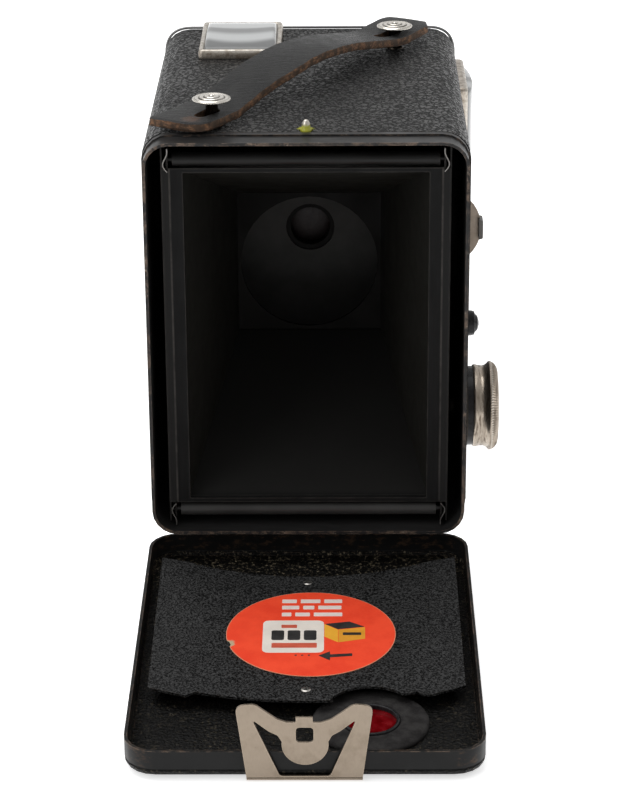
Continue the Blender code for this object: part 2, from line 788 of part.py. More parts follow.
def make_hinge(steel, nickel):
    leaf = box((-LEAF_HALF, -45.2, 0.0), (LEAF_HALF, LEAF_FRONT_Y, 0.3))
    leaf = solid("hinge_leaf", leaf, steel)
    inner, outer = KNUCKLES[1] + 0.3, KNUCKLES[2]
    pin_line = (PIN_Y, PIN_Z)
    for side in (-1, 1):
        low, high = sorted((side * inner, side * outer))
        join(
            leaf,
            box((low, PIN_Y - 0.4, PIN_Z + 0.3), (high, -44.6, 0.25)),
            rod(pin_line, BARREL_RADIUS, low, high, steps=20),
        )
    for side in (-1, 1):
        low, high = sorted((side * (inner - 1), side * (outer + 1)))
        cut(leaf, rod(pin_line, PIN_RADIUS + 0.06, low, high, steps=16))
    solid("hinge_pin", rod(pin_line, PIN_RADIUS, -26.8, 26.8, steps=16), nickel)


def make_door(pivot, steel, covering, black, spring_steel, paper, red, felt, nickel, bright):
    fold = 1.2
    sheet = SHEET
    pan = stacked(
        [
            door_loop(DOOR_BACK_Y, fold),
            door_loop(DOOR_BACK_Y + 0.35, 0.35),
            door_loop(DOOR_BACK_Y + fold, 0.0),
            door_loop(DOOR_EDGE_Y, 0.0),
            door_loop(DOOR_EDGE_Y, sheet),
            door_loop(DOOR_BACK_Y + fold, sheet),
            door_loop(DOOR_BACK_Y + sheet, sheet + 0.5),
        ]
    )
    pan = solid("door_pan", pan, steel, DOOR_PIVOT, pivot)
    pin_line = (PIN_Y, PIN_Z)
    for side in (-1, 1):
        low, high = sorted((side * KNUCKLES[0], side * KNUCKLES[1]))
        join(
            pan,
            box((low, DOOR_EDGE_Y - 1.0, DOOR_Z[0] + 0.05), (high, PIN_Y, DOOR_Z[0] + 0.5)),
            rod(pin_line, BARREL_RADIUS, low, high, steps=20),
        )
    for side in (-1, 1):
        low, high = sorted((side * (KNUCKLES[0] - 1), side * (KNUCKLES[1] + 1)))
        cut(pan, rod(pin_line, PIN_RADIUS + 0.06, low, high, steps=16))
    window = (WINDOW_AT[0], PIN_Z + WINDOW_AT[1])
    cut(pan, rod(window, WINDOW_RADIUS, DOOR_BACK_Y - 1, DOOR_BACK_Y + 3, "Y", 28))

    skin = slab(
        rounded_rectangle(
            (-DOOR_HALF_WIDTH + 2.5, DOOR_Z[0] + 2.5),
            (DOOR_HALF_WIDTH - 2.5, DOOR_Z[1] - 2.5),
            5.0,
        ),
        DOOR_BACK_Y - 0.45,
        DOOR_BACK_Y - 0.05,
    )
    skin = solid("door_leatherette", skin, covering, DOOR_PIVOT, pivot)
    cut(skin, rod(window, WINDOW_RADIUS + 0.8, DOOR_BACK_Y - 1, DOOR_BACK_Y + 1, "Y", 28))

    floor = DOOR_BACK_Y + SHEET
    solid(
        "red_window",
        rod(window, WINDOW_RADIUS + 1.8, floor + 0.05, floor + 0.35, "Y", 28),
        red,
        DOOR_PIVOT,
        pivot,
    )
    ring = [
        (floor + 0.05, WINDOW_RADIUS + 2.1),
        (floor + 0.05, FELT_RADIUS),
        (floor + 1.2, FELT_RADIUS - 0.3),
        (floor + 1.2, WINDOW_RADIUS + 0.1),
        (floor + 0.45, WINDOW_RADIUS + 0.1),
        (floor + 0.45, WINDOW_RADIUS + 2.1),
    ]
    solid("window_felt_ring", turned(ring, window, "Y", 28, ring=True), felt, DOOR_PIVOT, pivot)

    make_pressure_plate(pivot, black, spring_steel, paper, bright)
    make_latch(pivot, nickel)


def plate_outline():
    """The pressure plate's outline as (x, distance from the pin): a hollow far edge and a bowed near edge."""
    half = PLATE_HALF_WIDTH
    hollow = arc((0.0, 19.5 - HOLLOW_RADIUS), HOLLOW_RADIUS, 119.7, 60.3, 12)
    bow = arc((0.0, 76.6 - BOW_RADIUS), BOW_RADIUS, 72.2, 107.8, 12)
    near_right = [(half, 70.2), (27.6, 74.0), (26.0, 73.9)]
    near_left = [(-26.4, 74.2), (-half + 0.3, 70.8)]
    return [(-half, 9.5), *hollow, (half, 9.6), *near_right, *bow, *near_left]


def make_pressure_plate(pivot, black, spring_steel, paper, bright):
    top = PIN_Y + PLATE_FACE
    outline = [(x, PIN_Z + distance) for x, distance in plate_outline()]
    plate = solid("pressure_plate", slab(outline, top - PLATE_THICK, top), black, DOOR_PIVOT, pivot)
    window = (WINDOW_AT[0], PIN_Z + WINDOW_AT[1])
    rivets = (("upper_plate_rivet", 72.2), ("lower_plate_rivet", 22.8))
    cut(plate, rod(window, 9.8, top - 3, top + 3, "Y", 32))
    for _, distance in rivets:
        cut(plate, rod((0.0, PIN_Z + distance), 1.0, top - 3, top + 3, "Y", 16))
    for name, distance in rivets:
        head = [(top - 1.5, 0.9), (top + 0.08, 0.9), (top + 0.08, 1.4), (top + 0.35, 1.2), (top + 0.45, 0.5)]
        solid(name, turned(head, (0.0, PIN_Z + distance), "Y", 16), bright, DOOR_PIVOT, pivot)

    low, high = 19.5, 75.5
    steps = 20
    upper, lower = [], []
    for step in range(steps + 1):
        distance = low + (high - low) * step / steps
        share = math.sin(math.pi * step / steps)
        height = PLATE_FACE - PLATE_THICK - 0.15 - 2.2 * share**1.6
        y, z = in_door(height, distance)
        upper.append((y, z))
        lower.append((y - 0.35, z))
    leaf = slab(upper + lower[::-1], -6.0, 6.0, "X")
    leaf = solid("plate_spring", leaf, spring_steel, DOOR_PIVOT, pivot)
    for _, distance in rivets:
        cut(leaf, rod((0.0, PIN_Z + distance), 1.0, top - 4, top + 3, "Y", 16))

    centre = (LABEL_AT[0], PIN_Z + LABEL_AT[1])
    solid(
        "label_disc",
        rod(centre, LABEL_RADIUS, top + 0.05, top + 0.2, "Y", 48),
        paper,
        DOOR_PIVOT,
        pivot,
    )


def latch_outline():
    """The latch's outline as (x, height): two legs, shoulders with a saddle between, and a round tongue."""
    foot = LATCH_FOOT
    right = [
        (5.1, foot),
        (12.3, foot),
        (14.4, 7.6),
        *arc((12.6, 8.1), 1.9, 0, 80, 3),
        (11.2, 10.1),
        (8.9, 9.6),
        (7.4, 7.9),
        (5.6, 6.6),
        (2.9, 6.2),
    ]
    tab = [(2.9, 7.0), (-2.9, 7.0)]
    left = [(-x, height) for x, height in right[::-1]]
    under_left = [(-10.5, 5.9), (-8.2, 3.9), (-6.6, 3.2)]
    tongue = arc((0.1, 0.4), 5.3, 170, 370, 14)
    under_right = [(-x, height) for x, height in under_left[::-1]]
    return [*right, *tab, *left, *under_left, *tongue, *under_right]


def make_latch(pivot, nickel):
    """A spring plate on the door's free edge, with a hole that takes the stud, and the flange that holds it."""
    inner = PIN_Z + LATCH_INNER
    outline = [(x, PIN_Y + height) for x, height in latch_outline()]
    plate = slab(outline, inner, inner + LATCH_THICK, "Z")
    at = (0.0, PIN_Y + LATCH_FOOT, inner)
    latch = solid("door_latch", plate, nickel, at, pivot)
    cut(latch, rod((0.0, LATCH_STUD_Y), LATCH_STUD_RADIUS + 0.35, inner - 2, inner + 2, "Z"))

    back = DOOR_BACK_Y - GAP
    low = (-LATCH_FLANGE_HALF, back - LATCH_THICK, inner - LATCH_FLANGE_DEPTH)
    solid("latch_flange", box(low, (LATCH_FLANGE_HALF, back, inner - GAP)), nickel, at, pivot)


def main():
    clear_scene()
    black_steel = material("black enamelled steel", (0.02, 0.02, 0.021), 0.42, 0.3)
    covering = material("black leatherette", (0.025, 0.024, 0.024), 0.55)
    front_black = material("black front enamel", (0.015, 0.015, 0.016), 0.3, 0.2)
    matte_black = material("matte black sheet", (0.012, 0.012, 0.012), 0.7, 0.2)
    nickel = material("dull nickel", (0.55, 0.52, 0.47), 0.38, 1.0)
    bright = material("bright nickel", (0.7, 0.68, 0.63), 0.25, 1.0)
    brass = material("blackened brass", (0.07, 0.06, 0.045), 0.5, 0.8)
    glass = material("glass", (0.85, 0.87, 0.88), 0.05)
    mirror = material("mirror", (0.85, 0.86, 0.87), 0.06, 1.0)
    black_plastic = material("black moulding", (0.018, 0.018, 0.018), 0.35)
    leather = material("black strap leather", (0.03, 0.024, 0.02), 0.6)
    paper = material("orange printed paper", (0.75, 0.16, 0.06), 0.6)
    red = material("red celluloid", (0.45, 0.04, 0.03), 0.3)
    felt = material("black felt", (0.02, 0.02, 0.02), 0.95)
    spring_steel = material("spring steel", (0.35, 0.34, 0.33), 0.35, 1.0)

    make_body(black_steel, covering, front_black, bright)
    make_carrier(matte_black)
    make_spool(matte_black, nickel)
    make_winder(black_plastic, nickel)
    make_optics(matte_black, glass, nickel, brass)
    looks = (nickel, glass, mirror, matte_black)
    make_finder(
        "top_finder",
        "Z",
        (TOP_FINDER_X[0], FINDER_Y[0]),
        (TOP_FINDER_X[1], FINDER_Y[1]),
        HEIGHT,
        TOP_OBJECTIVE,
        looks,
    )
    make_finder(
        "side_finder",
        "X",
        (FINDER_Y[0], SIDE_FINDER_Z[0]),
        (FINDER_Y[1], SIDE_FINDER_Z[1]),
        HALF_WIDTH + COVER_PROUD,
        SIDE_OBJECTIVE,
        looks,
    )
    make_strap(leather, bright)
    make_hinge(black_steel, nickel)

    pivot = bpy.data.objects.new("door_pivot", None)
    bpy.context.scene.collection.objects.link(pivot)
    pivot.location = Vector(DOOR_PIVOT) * MM
    pivot.rotation_euler.x = DOOR_OPEN
    make_door(
        pivot, black_steel, covering, matte_black, spring_steel, paper, red, felt, nickel, bright
    )


main()
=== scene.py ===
"""The looks of the roll-film box camera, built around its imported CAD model.

Lengths are in millimetres in the CAD frame and become metres when a mesh is made. The door's pieces are drawn
closed, as the CAD draws them, and then turned open about the hinge pin.
"""

import json
import math

import bmesh
import bpy
from mathutils import Matrix, Vector


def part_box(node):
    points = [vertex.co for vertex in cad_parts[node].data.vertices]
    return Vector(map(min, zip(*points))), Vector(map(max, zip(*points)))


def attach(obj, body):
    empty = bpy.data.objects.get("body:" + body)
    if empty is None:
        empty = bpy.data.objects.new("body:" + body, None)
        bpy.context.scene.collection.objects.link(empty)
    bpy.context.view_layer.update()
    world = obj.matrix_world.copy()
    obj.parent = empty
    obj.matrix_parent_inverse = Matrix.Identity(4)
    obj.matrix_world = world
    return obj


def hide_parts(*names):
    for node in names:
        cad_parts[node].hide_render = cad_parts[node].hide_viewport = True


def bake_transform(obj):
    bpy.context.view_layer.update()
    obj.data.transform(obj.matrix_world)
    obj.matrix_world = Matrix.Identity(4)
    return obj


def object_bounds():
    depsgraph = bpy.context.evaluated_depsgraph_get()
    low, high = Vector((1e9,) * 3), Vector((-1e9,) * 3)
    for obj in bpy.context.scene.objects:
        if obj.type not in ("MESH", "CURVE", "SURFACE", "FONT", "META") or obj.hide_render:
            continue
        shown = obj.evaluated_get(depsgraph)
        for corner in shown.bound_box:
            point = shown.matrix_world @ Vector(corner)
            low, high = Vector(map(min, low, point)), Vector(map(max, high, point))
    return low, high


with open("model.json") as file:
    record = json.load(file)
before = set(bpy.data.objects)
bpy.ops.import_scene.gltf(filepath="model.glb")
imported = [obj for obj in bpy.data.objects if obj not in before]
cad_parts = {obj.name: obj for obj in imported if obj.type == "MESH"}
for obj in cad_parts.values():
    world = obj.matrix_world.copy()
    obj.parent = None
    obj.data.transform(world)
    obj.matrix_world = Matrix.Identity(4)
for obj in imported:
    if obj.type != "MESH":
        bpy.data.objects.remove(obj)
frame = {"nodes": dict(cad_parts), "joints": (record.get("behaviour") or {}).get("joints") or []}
cad_box = [list(corner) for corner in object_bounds()]

MM = 0.001
NODES = frame["nodes"]
DOOR_HINGE = next(joint for joint in frame["joints"] if joint["name"] == "door_hinge")
PIN = Vector(DOOR_HINGE["pos_m"])
DOOR_OPEN = math.radians(DOOR_HINGE["range_deg"][1])
DOOR_TURN = Matrix.Rotation(DOOR_OPEN, 4, "X")
DOOR_PLACE = Matrix.Translation(PIN) @ DOOR_TURN @ Matrix.Translation(-PIN)
PIN_Y, PIN_Z = PIN.y / MM, PIN.z / MM

# Tones
BROWN_WEAR = (0.115, 0.07, 0.045)
DUST = (0.20, 0.185, 0.16)
# Painted light and shade in the carrier's cone: walls and floor lighter than its sheet, the far partition
# near black
CONE_WALL_LIT = (0.014, 0.0135, 0.0115)
CONE_FLOOR_LIT = (0.0145, 0.0140, 0.0132)
PARTITION_SHADE = (0.0030, 0.0029, 0.0024)
YELLOW_PAINT = (0.42, 0.42, 0.04)
# Tones of the painted reflection in the finder glasses
FINDER_PAINTED_BANDS = (0.20, 0.52, 0.31, 0.28)  # the near edge, the pale band, the fall and the rise behind it

# Knob, studs, lever and finders
KNOB_TEETH = 104
KNOB_MILL = 0.24
KNOB_FLANK = (45.0, 46.2)
KNOB_TIPS = (11.12, 11.36)
STUD_RINGS = 3
STUD_RING_STEP = 1.2
LEVER_PAD_HALF = 2.5
FRAME_BORDER = 1.5
FINDER_GROW = 1.15

# Film carrier
CARRIER_FOLD = 31.6
PARTITION_AT = 7.0

# Strap: heights, its ends past the studs, and its two edges beside the line through the studs
STRAP_THICK = 2.2
STRAP_ARCH = 5.4
STRAP_FRONT_LIFT = 1.4
STRAP_LOW = 99.6
STRAP_REAR_END = -12.2
STRAP_FRONT_END = 13.0
STRAP_LEFT = 9.5
STRAP_RIGHT = -5.1
STRAP_STATIONS = 120
STRAP_FLATS = 36
SLOT_HALF = 1.95
SLOT_REACH = (4.6, 7.5)  # how far the rear and front slots run from their studs
FRAYED_AT = Vector((-26.6, -44.6, 101.8))

# Door, drawn closed: depths are Y, distances run up from the pin
PAN_BACK = PIN_Y - 7.8
PAN_SHEET = 0.7
PAN_HALF = 38.4
PAN_TOP = 99.5
PLATE_FACE = PIN_Y - 3.35
PLATE_BACK = PLATE_FACE - 0.75
RIVETS_AT = (72.2, 22.8)
RIVET_HOLE = 1.25
SPRING_BOW = 2.2
SPRING_LOW = 19.5
SPRING_LENGTH = 56.0
SPRING_THICK = 0.35
SPRING_HALF = 6.0
SPRING_STEPS = 40
LABEL_AT = (0.9, PIN_Z + 47.1)
LABEL_RADIUS = 19.4
LABEL_THICK = 0.2
LINE_HEIGHT = 1.75
LINE_GAP = 0.9
LABEL_LINES = (  # each row's height, its left end and the lengths of its bars
    (14.2, -6.8, (3.4, 4.6, 4.2)), (11.2, -6.8, (4.0, 2.6, 5.4)), (7.9, -6.8, (2.2, 3.4, 6.6)),
)
NICK_ANGLE = 166.0
WINDOW_AT = (14.2, PIN_Z + 80.3)
LATCH_INNER = PIN_Z + 100.35
LATCH_THICK = 0.6
LATCH_FOOT = -7.6
LATCH_LEG = 12.3
LATCH_TAB = 1.8
LATCH_SHEET_ROUND = 0.14
LATCH_HOLE = ((-1.75, 1.05), (1.9, 1.05), (1.9, 4.65), (-1.75, 4.65))
BEND_RADIUS = 0.7
BEND_DEPTH = 1.9

# Stage, light and camera
FLOOR_REACH = 6.0
FLOOR_GLOW = 0.6
RISER = ((-34.0, -40.0), (34.0, -40.0), (34.0, 50.0), (-34.0, 50.0))
WORLD_LIGHT = (0.4, 0.75)
CAMERA_AT = Vector((0.0073, -0.6381, 0.2713))
CAMERA_PITCH = math.radians(21.97)
CAMERA_YAW = math.radians(-0.679)
CAMERA_ROLL = math.radians(-0.401)
CAMERA_LENS = 119.83


def extent(node):
    """The CAD node's lowest and highest corners, in millimetres."""
    low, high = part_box(node)
    return low / MM, high / MM


def middle_of(node):
    """The middle of the CAD node's box, in millimetres."""
    low, high = extent(node)
    return (low + high) / 2


def grey(value):
    return (value, value, value)


# Geometry, in millimetres


def placed(axis, a, b, depth):
    """A point given by two coordinates in the plane across an axis and its depth along that axis."""
    if axis == "X":
        return (depth, a, b)
    if axis == "Y":
        return (a, depth, b)
    return (a, b, depth)


def arc(centre, radius, start, end, steps):
    """Points on an arc between two angles in degrees."""
    points = []
    for step in range(steps + 1):
        angle = math.radians(start + (end - start) * step / steps)
        points.append((centre[0] + radius * math.cos(angle), centre[1] + radius * math.sin(angle)))
    return points


def filleted(corners, steps=6):
    """An outline from (x, y, radius) corners, each rounded by its own radius."""
    outline = []
    count = len(corners)
    for index, (x, y, radius) in enumerate(corners):
        here = Vector((x, y))
        before = Vector(corners[index - 1][:2]) - here
        after = Vector(corners[(index + 1) % count][:2]) - here
        turn = before.angle(after)
        if radius <= 0 or turn > math.radians(175):
            outline.append((x, y))
            continue
        reach = min(radius / math.tan(turn / 2), 0.48 * before.length, 0.48 * after.length)
        first = here + before.normalized() * reach
        last = here + after.normalized() * reach
        for step in range(steps + 1):
            share = step / steps
            point = first * (1 - share) ** 2 + here * 2 * share * (1 - share) + last * share**2
            outline.append(tuple(point))
    return outline


def stacked(loops, capped=True, ring=False):
    """A solid through loops of equal length: capped at its ends, or joined end to end."""
    mesh = bmesh.new()
    rows = [[mesh.verts.new(point) for point in loop] for loop in loops]
    pairs = list(zip(rows, rows[1:]))
    if ring:
        pairs.append((rows[-1], rows[0]))
    for below, above in pairs:
        for index in range(len(below)):
            following = (index + 1) % len(below)
            mesh.faces.new((below[index], below[following], above[following], above[index]))
    if capped:
        mesh.faces.new(rows[0][::-1])
        mesh.faces.new(rows[-1])
    return mesh


def slab(outline, low, high, axis, edge=0.0):
    """An outline given thickness along an axis, its two rims drawn in by a small chamfer."""
    def loop(depth, inset):
        points = []
        for index, point in enumerate(outline):
            before = Vector(point) - Vector(outline[index - 1])
            after = Vector(outline[(index + 1) % len(outline)]) - Vector(point)
            along = before.normalized() + after.normalized()
            normal = Vector((along.y, -along.x)).normalized() * side
            points.append(placed(axis, *(Vector(point) - normal * inset), depth))
        return points

    area = sum(a[0] * b[1] - b[0] * a[1] for a, b in zip(outline, outline[1:] + outline[:1]))
    side = 1 if area > 0 else -1
    if edge <= 0:
        return stacked([[placed(axis, *point, depth) for point in outline] for depth in (low, high)])
    return stacked([loop(low, edge), loop(low + edge, 0.0), loop(high - edge, 0.0), loop(high, edge)])


def turned(profile, centre, axis, steps=64, ring=False):
    """A profile of (depth, radius) turned about an axis through the centre; a wave may ripple its radius."""
    loops = []
    for entry in profile:
        depth, radius = entry[:2]
        teeth, ripple = entry[2:] if len(entry) > 2 else (0, 0.0)
        loop = []
        for step in range(steps):
            angle = 2 * math.pi * step / steps
            reach = radius - ripple * (0.5 - 0.5 * math.cos(angle * teeth))
            a, b = centre[0] + reach * math.cos(angle), centre[1] + reach * math.sin(angle)
            loop.append(placed(axis, a, b, depth))
        loops.append(loop)
    return stacked(loops, capped=not ring, ring=ring)


def ribbon(line, thick, low, high, axis):
    """A strip of sheet that follows a line drawn in the plane across an axis."""
    left, right = [], []
    for index, point in enumerate(line):
        before = Vector(line[max(index - 1, 0)])
        after = Vector(line[min(index + 1, len(line) - 1)])
        along = (after - before).normalized()
        normal = Vector((-along.y, along.x)) * thick / 2
        left.append(tuple(Vector(point) + normal))
        right.append(tuple(Vector(point) - normal))
    return slab(left + right[::-1], low, high, axis)


def finished(name, mesh):
    """Mesh data in metres from a mesh drawn in millimetres, its faces pointing out."""
    mesh.transform(Matrix.Scale(MM, 4))
    bmesh.ops.recalc_face_normals(mesh, faces=mesh.faces)
    data = bpy.data.meshes.new(name)
    mesh.to_mesh(data)
    mesh.free()
    return data


def linked(name, data):
    """A new object in the scene."""
    made = bpy.data.objects.new(name, data)
    bpy.context.scene.collection.objects.link(made)
    return made


def smoothed(data, sharp):
    data.shade_smooth()
    data.set_sharp_from_angle(angle=math.radians(sharp))


def piece(name, mesh, look, body, replaces=(), on_door=False, sharp=32.0):
    """Makes the object of a mesh drawn in millimetres, smooth up to an angle, and lets it ride on a body."""
    data = finished(name, mesh)
    if on_door:
        data.transform(DOOR_PLACE)
    made = linked(name, data)
    for material in look if isinstance(look, tuple) else (look,):
        data.materials.append(material)
    smoothed(data, sharp)
    if body:
        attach(made, body)
    if replaces:
        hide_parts(*replaces)
    return made


def bevel(made, width, segments, angle):
    """Rounds the edges of an object with a Bevel modifier whose flats stay flat."""
    rounding = made.modifiers.new("round_edges", "BEVEL")
    rounding.width = width * MM
    rounding.segments = segments
    rounding.limit_method = "ANGLE"
    rounding.angle_limit = math.radians(angle)
    rounding.harden_normals = True
    rounding.miter_outer = "MITER_ARC"


def carve(made, *cutters):
    """Cuts closed meshes, drawn in millimetres, out of a finished piece and keeps the result."""
    helpers = [linked("cutter", finished("cutter", mesh)) for mesh in cutters]
    for helper in helpers:
        made.modifiers.new("cut", "BOOLEAN").object = helper
    graph = bpy.context.evaluated_depsgraph_get()
    result = bpy.data.meshes.new_from_object(made.evaluated_get(graph))
    made.modifiers.clear()
    made.data = result
    for helper in helpers:
        bpy.data.objects.remove(helper)


# Materials


class Look:
    """One procedural material, built from noise, cells and masks over the object's own coordinates."""

    def __init__(self, name, colour, roughness, metallic=0.0, **sockets):
        self.material = bpy.data.materials.new(name)
        self.material.use_nodes = True
        self.tree = self.material.node_tree
        self.shader = self.tree.nodes["Principled BSDF"]
        self.set(self.shader.inputs["Base Color"], (*colour, 1.0))
        self.set(self.shader.inputs["Roughness"], roughness)
        self.set(self.shader.inputs["Metallic"], metallic)
        for label, value in sockets.items():
            self.set(self.shader.inputs[label.replace("_", " ")], value)
        self.place = self.add("ShaderNodeTexCoord").outputs["Object"]
        self.normal = None

    def add(self, kind, inputs=(), **settings):
        """A node whose sockets, in order or by name, hold numbers or take links."""
        node = self.tree.nodes.new(kind)
        for key, value in settings.items():
            setattr(node, key, value)
        for socket, value in inputs.items() if isinstance(inputs, dict) else enumerate(inputs):
            self.set(node.inputs[socket], value)
        return node

    def set(self, socket, value):
        if isinstance(value, bpy.types.NodeSocket):
            self.tree.links.new(value, socket)
        else:
            socket.default_value = value

    def maths(self, operation, a, b=0.0):
        return self.add("ShaderNodeMath", (a, b), operation=operation).outputs[0]

    def times(self, a, b):
        return self.maths("MULTIPLY", a, b)

    def most(self, a, b):
        return self.maths("MAXIMUM", a, b)

    def vector(self, operation, a, b):
        node = self.add("ShaderNodeVectorMath", (a, b), operation=operation)
        return node.outputs["Value" if operation in ("DOT_PRODUCT", "DISTANCE") else "Vector"]

    def scaled(self, size, stretch=(1.0, 1.0, 1.0), shift=0.0):
        """Coordinates in units of one grain of that size in millimetres, longer where stretch is over 1."""
        factors = tuple(1.0 / (size * MM * share) for share in stretch)
        moved = self.vector("ADD", self.place, (shift, shift * 0.7, shift * 1.3))
        return self.vector("MULTIPLY", moved, factors)

    def noise(self, size, detail=3.0, rough=0.55, stretch=(1.0, 1.0, 1.0), shift=0.0, distortion=0.0):
        inputs = {"Vector": self.scaled(size, stretch, shift), "Scale": 1.0, "Detail": detail}
        inputs.update({"Roughness": rough, "Distortion": distortion})
        return self.add("ShaderNodeTexNoise", inputs).outputs[0]

    def cells(self, size, feature, warp, stretch=(1.0, 1.0, 1.0)):
        """Distances within cells whose walls wander by warp."""
        where = self.scaled(size, stretch)
        ripple = self.add("ShaderNodeTexNoise", {"Vector": where, "Scale": 1.3}).outputs["Color"]
        where = self.vector("ADD", where, self.vector("MULTIPLY", ripple, grey(warp)))
        inputs = {"Vector": where, "Scale": 1.0}
        return self.add("ShaderNodeTexVoronoi", inputs, feature=feature).outputs["Distance"]

    def ramp(self, value, low, high, start=0.0, end=1.0):
        """Smoothly from start to end as the value runs from low to high."""
        inputs = (value, low, high, start, end)
        return self.add("ShaderNodeMapRange", inputs, interpolation_type="SMOOTHSTEP").outputs[0]

    def mix(self, share, a, b):
        a, b = ((*tone, 1.0) if isinstance(tone, tuple) else tone for tone in (a, b))
        return self.add("ShaderNodeMix", {0: share, 6: a, 7: b}, data_type="RGBA").outputs[2]

    def axis(self, letter, door=False):
        """One coordinate in millimetres, or the closed door's own where door is true."""
        place = self.place
        if door:
            back = DOOR_PLACE.inverted()
            inputs = {"Vector": place, "Location": back.to_translation(), "Rotation": back.to_euler()}
            place = self.add("ShaderNodeMapping", inputs).outputs[0]
        return self.times(self.add("ShaderNodeSeparateXYZ", (place,)).outputs[letter], 1.0 / MM)

    def worn(self, radius):
        """1 along edges that stand proud, 0 on flats."""
        rounded = self.add("ShaderNodeBevel", {"Radius": radius * MM}, samples=6).outputs[0]
        flat = self.add("ShaderNodeNewGeometry").outputs["Normal"]
        return self.ramp(self.vector("DOT_PRODUCT", rounded, flat), 0.995, 0.835)

    def scuffs(self, radius, low, high, size, *grain, **place):
        """Worn edges broken up by a noise."""
        return self.times(self.worn(radius), self.ramp(self.noise(size, *grain, **place), low, high))

    def specks(self, cell, radius, share, shift=0.0):
        """Sparse round dots: one in some of the cells."""
        inputs = {"Vector": self.scaled(cell, shift=shift), "Scale": 1.0}
        spot = self.add("ShaderNodeTexVoronoi", inputs, feature="F1")
        dot = self.ramp(spot.outputs["Distance"], radius / cell, 0.5 * radius / cell)
        chance = self.add("ShaderNodeSeparateColor", (spot.outputs["Color"],)).outputs[0]
        return self.times(dot, self.maths("LESS_THAN", chance, share))

    def dust(self, fine, coarse):
        """Two sizes of specks."""
        return self.most(self.specks(*fine), self.specks(*coarse, shift=0.3))

    def bump(self, height, depth, strength=1.0):
        """Adds relief: height from 0 to 1 stands for that depth in millimetres."""
        inputs = {"Strength": strength, "Distance": depth * MM, "Height": height}
        if self.normal is not None:
            inputs["Normal"] = self.normal
        self.normal = self.add("ShaderNodeBump", inputs).outputs[0]
        self.set(self.shader.inputs["Normal"], self.normal)

    def drifting_rough(self, value, low, high, start=0.3, end=0.7):
        """Roughness that runs between two numbers as the value drifts."""
        self.rough(self.ramp(value, start, end, low, high))

    def colour(self, value):
        self.set(self.shader.inputs["Base Color"], value)

    def rough(self, value):
        self.set(self.shader.inputs["Roughness"], value)

    def metal(self, value):
        self.set(self.shader.inputs["Metallic"], value)


def enamel_look(name, base=0.0095, gloss=0.34, wear=1.0):
    """Black enamel on sheet steel: scuffed, rubbed brown along its edges, with a little dust."""
    look = Look(name, grey(base), gloss, Specular_IOR_Level=0.25)
    blotch = look.noise(7.0, 4.0)
    tone = look.mix(blotch, grey(base * 0.8), grey(base * 1.5))
    edge = look.times(look.scuffs(0.45, 0.42, 0.62, 2.2, 5.0, 0.65, shift=0.1), wear)
    rubbed = look.mix(edge, tone, BROWN_WEAR)
    look.colour(look.mix(look.dust((2.6, 0.11, 0.16), (7.0, 0.2, 0.2)), rubbed, DUST))
    uneven = look.ramp(blotch, 0.3, 0.7, gloss - 0.06, gloss + 0.1)
    look.rough(look.maths("ADD", uneven, look.times(edge, 0.2)))
    look.bump(look.noise(0.5, 3.0, shift=0.2), 0.02, 0.5)
    look.bump(blotch, 0.12, 0.4)
    return look.material


def shell_look():
    """The shell's enamel: its bare rim is rubbed, and its inside is dull."""
    look = Look("shell_enamel", grey(0.01), 0.36, Specular_IOR_Level=0.2)
    streak = look.noise(1.5, 5.0, 0.65, stretch=(6.0, 1.0, 6.0))
    tone = look.mix(streak, grey(0.008), (0.03, 0.029, 0.029))
    rear = extent("body_shell")[0].y
    rim = look.ramp(look.axis("Y"), rear + 0.5, rear + 0.12)
    chipped = look.ramp(look.noise(1.7, 6.0, 0.7, shift=0.4), 0.44, 0.6)
    grimy = look.ramp(look.noise(9.0, 3.0, 0.5, shift=0.7), 0.35, 0.65)
    edge = look.times(look.most(look.times(rim, grimy), look.worn(0.4)), chipped)
    rubbed = look.mix(edge, tone, (0.14, 0.10, 0.075))
    # Bright bits along the worn rim: partly bare rubbed metal, partly a painted edge highlight
    bright = look.times(edge, look.ramp(look.noise(0.9, 4.0, shift=0.9), 0.6, 0.7))
    rubbed = look.mix(bright, rubbed, (0.38, 0.33, 0.27))
    look.colour(look.mix(look.dust((3.0, 0.12, 0.15), (9.0, 0.22, 0.2)), rubbed, DUST))
    look.drifting_rough(look.noise(8.0, 4.0), 0.3, 0.46)
    look.bump(streak, 0.06, 0.4)
    look.bump(look.noise(0.4, 3.0, shift=0.5), 0.02, 0.5)
    return look.material


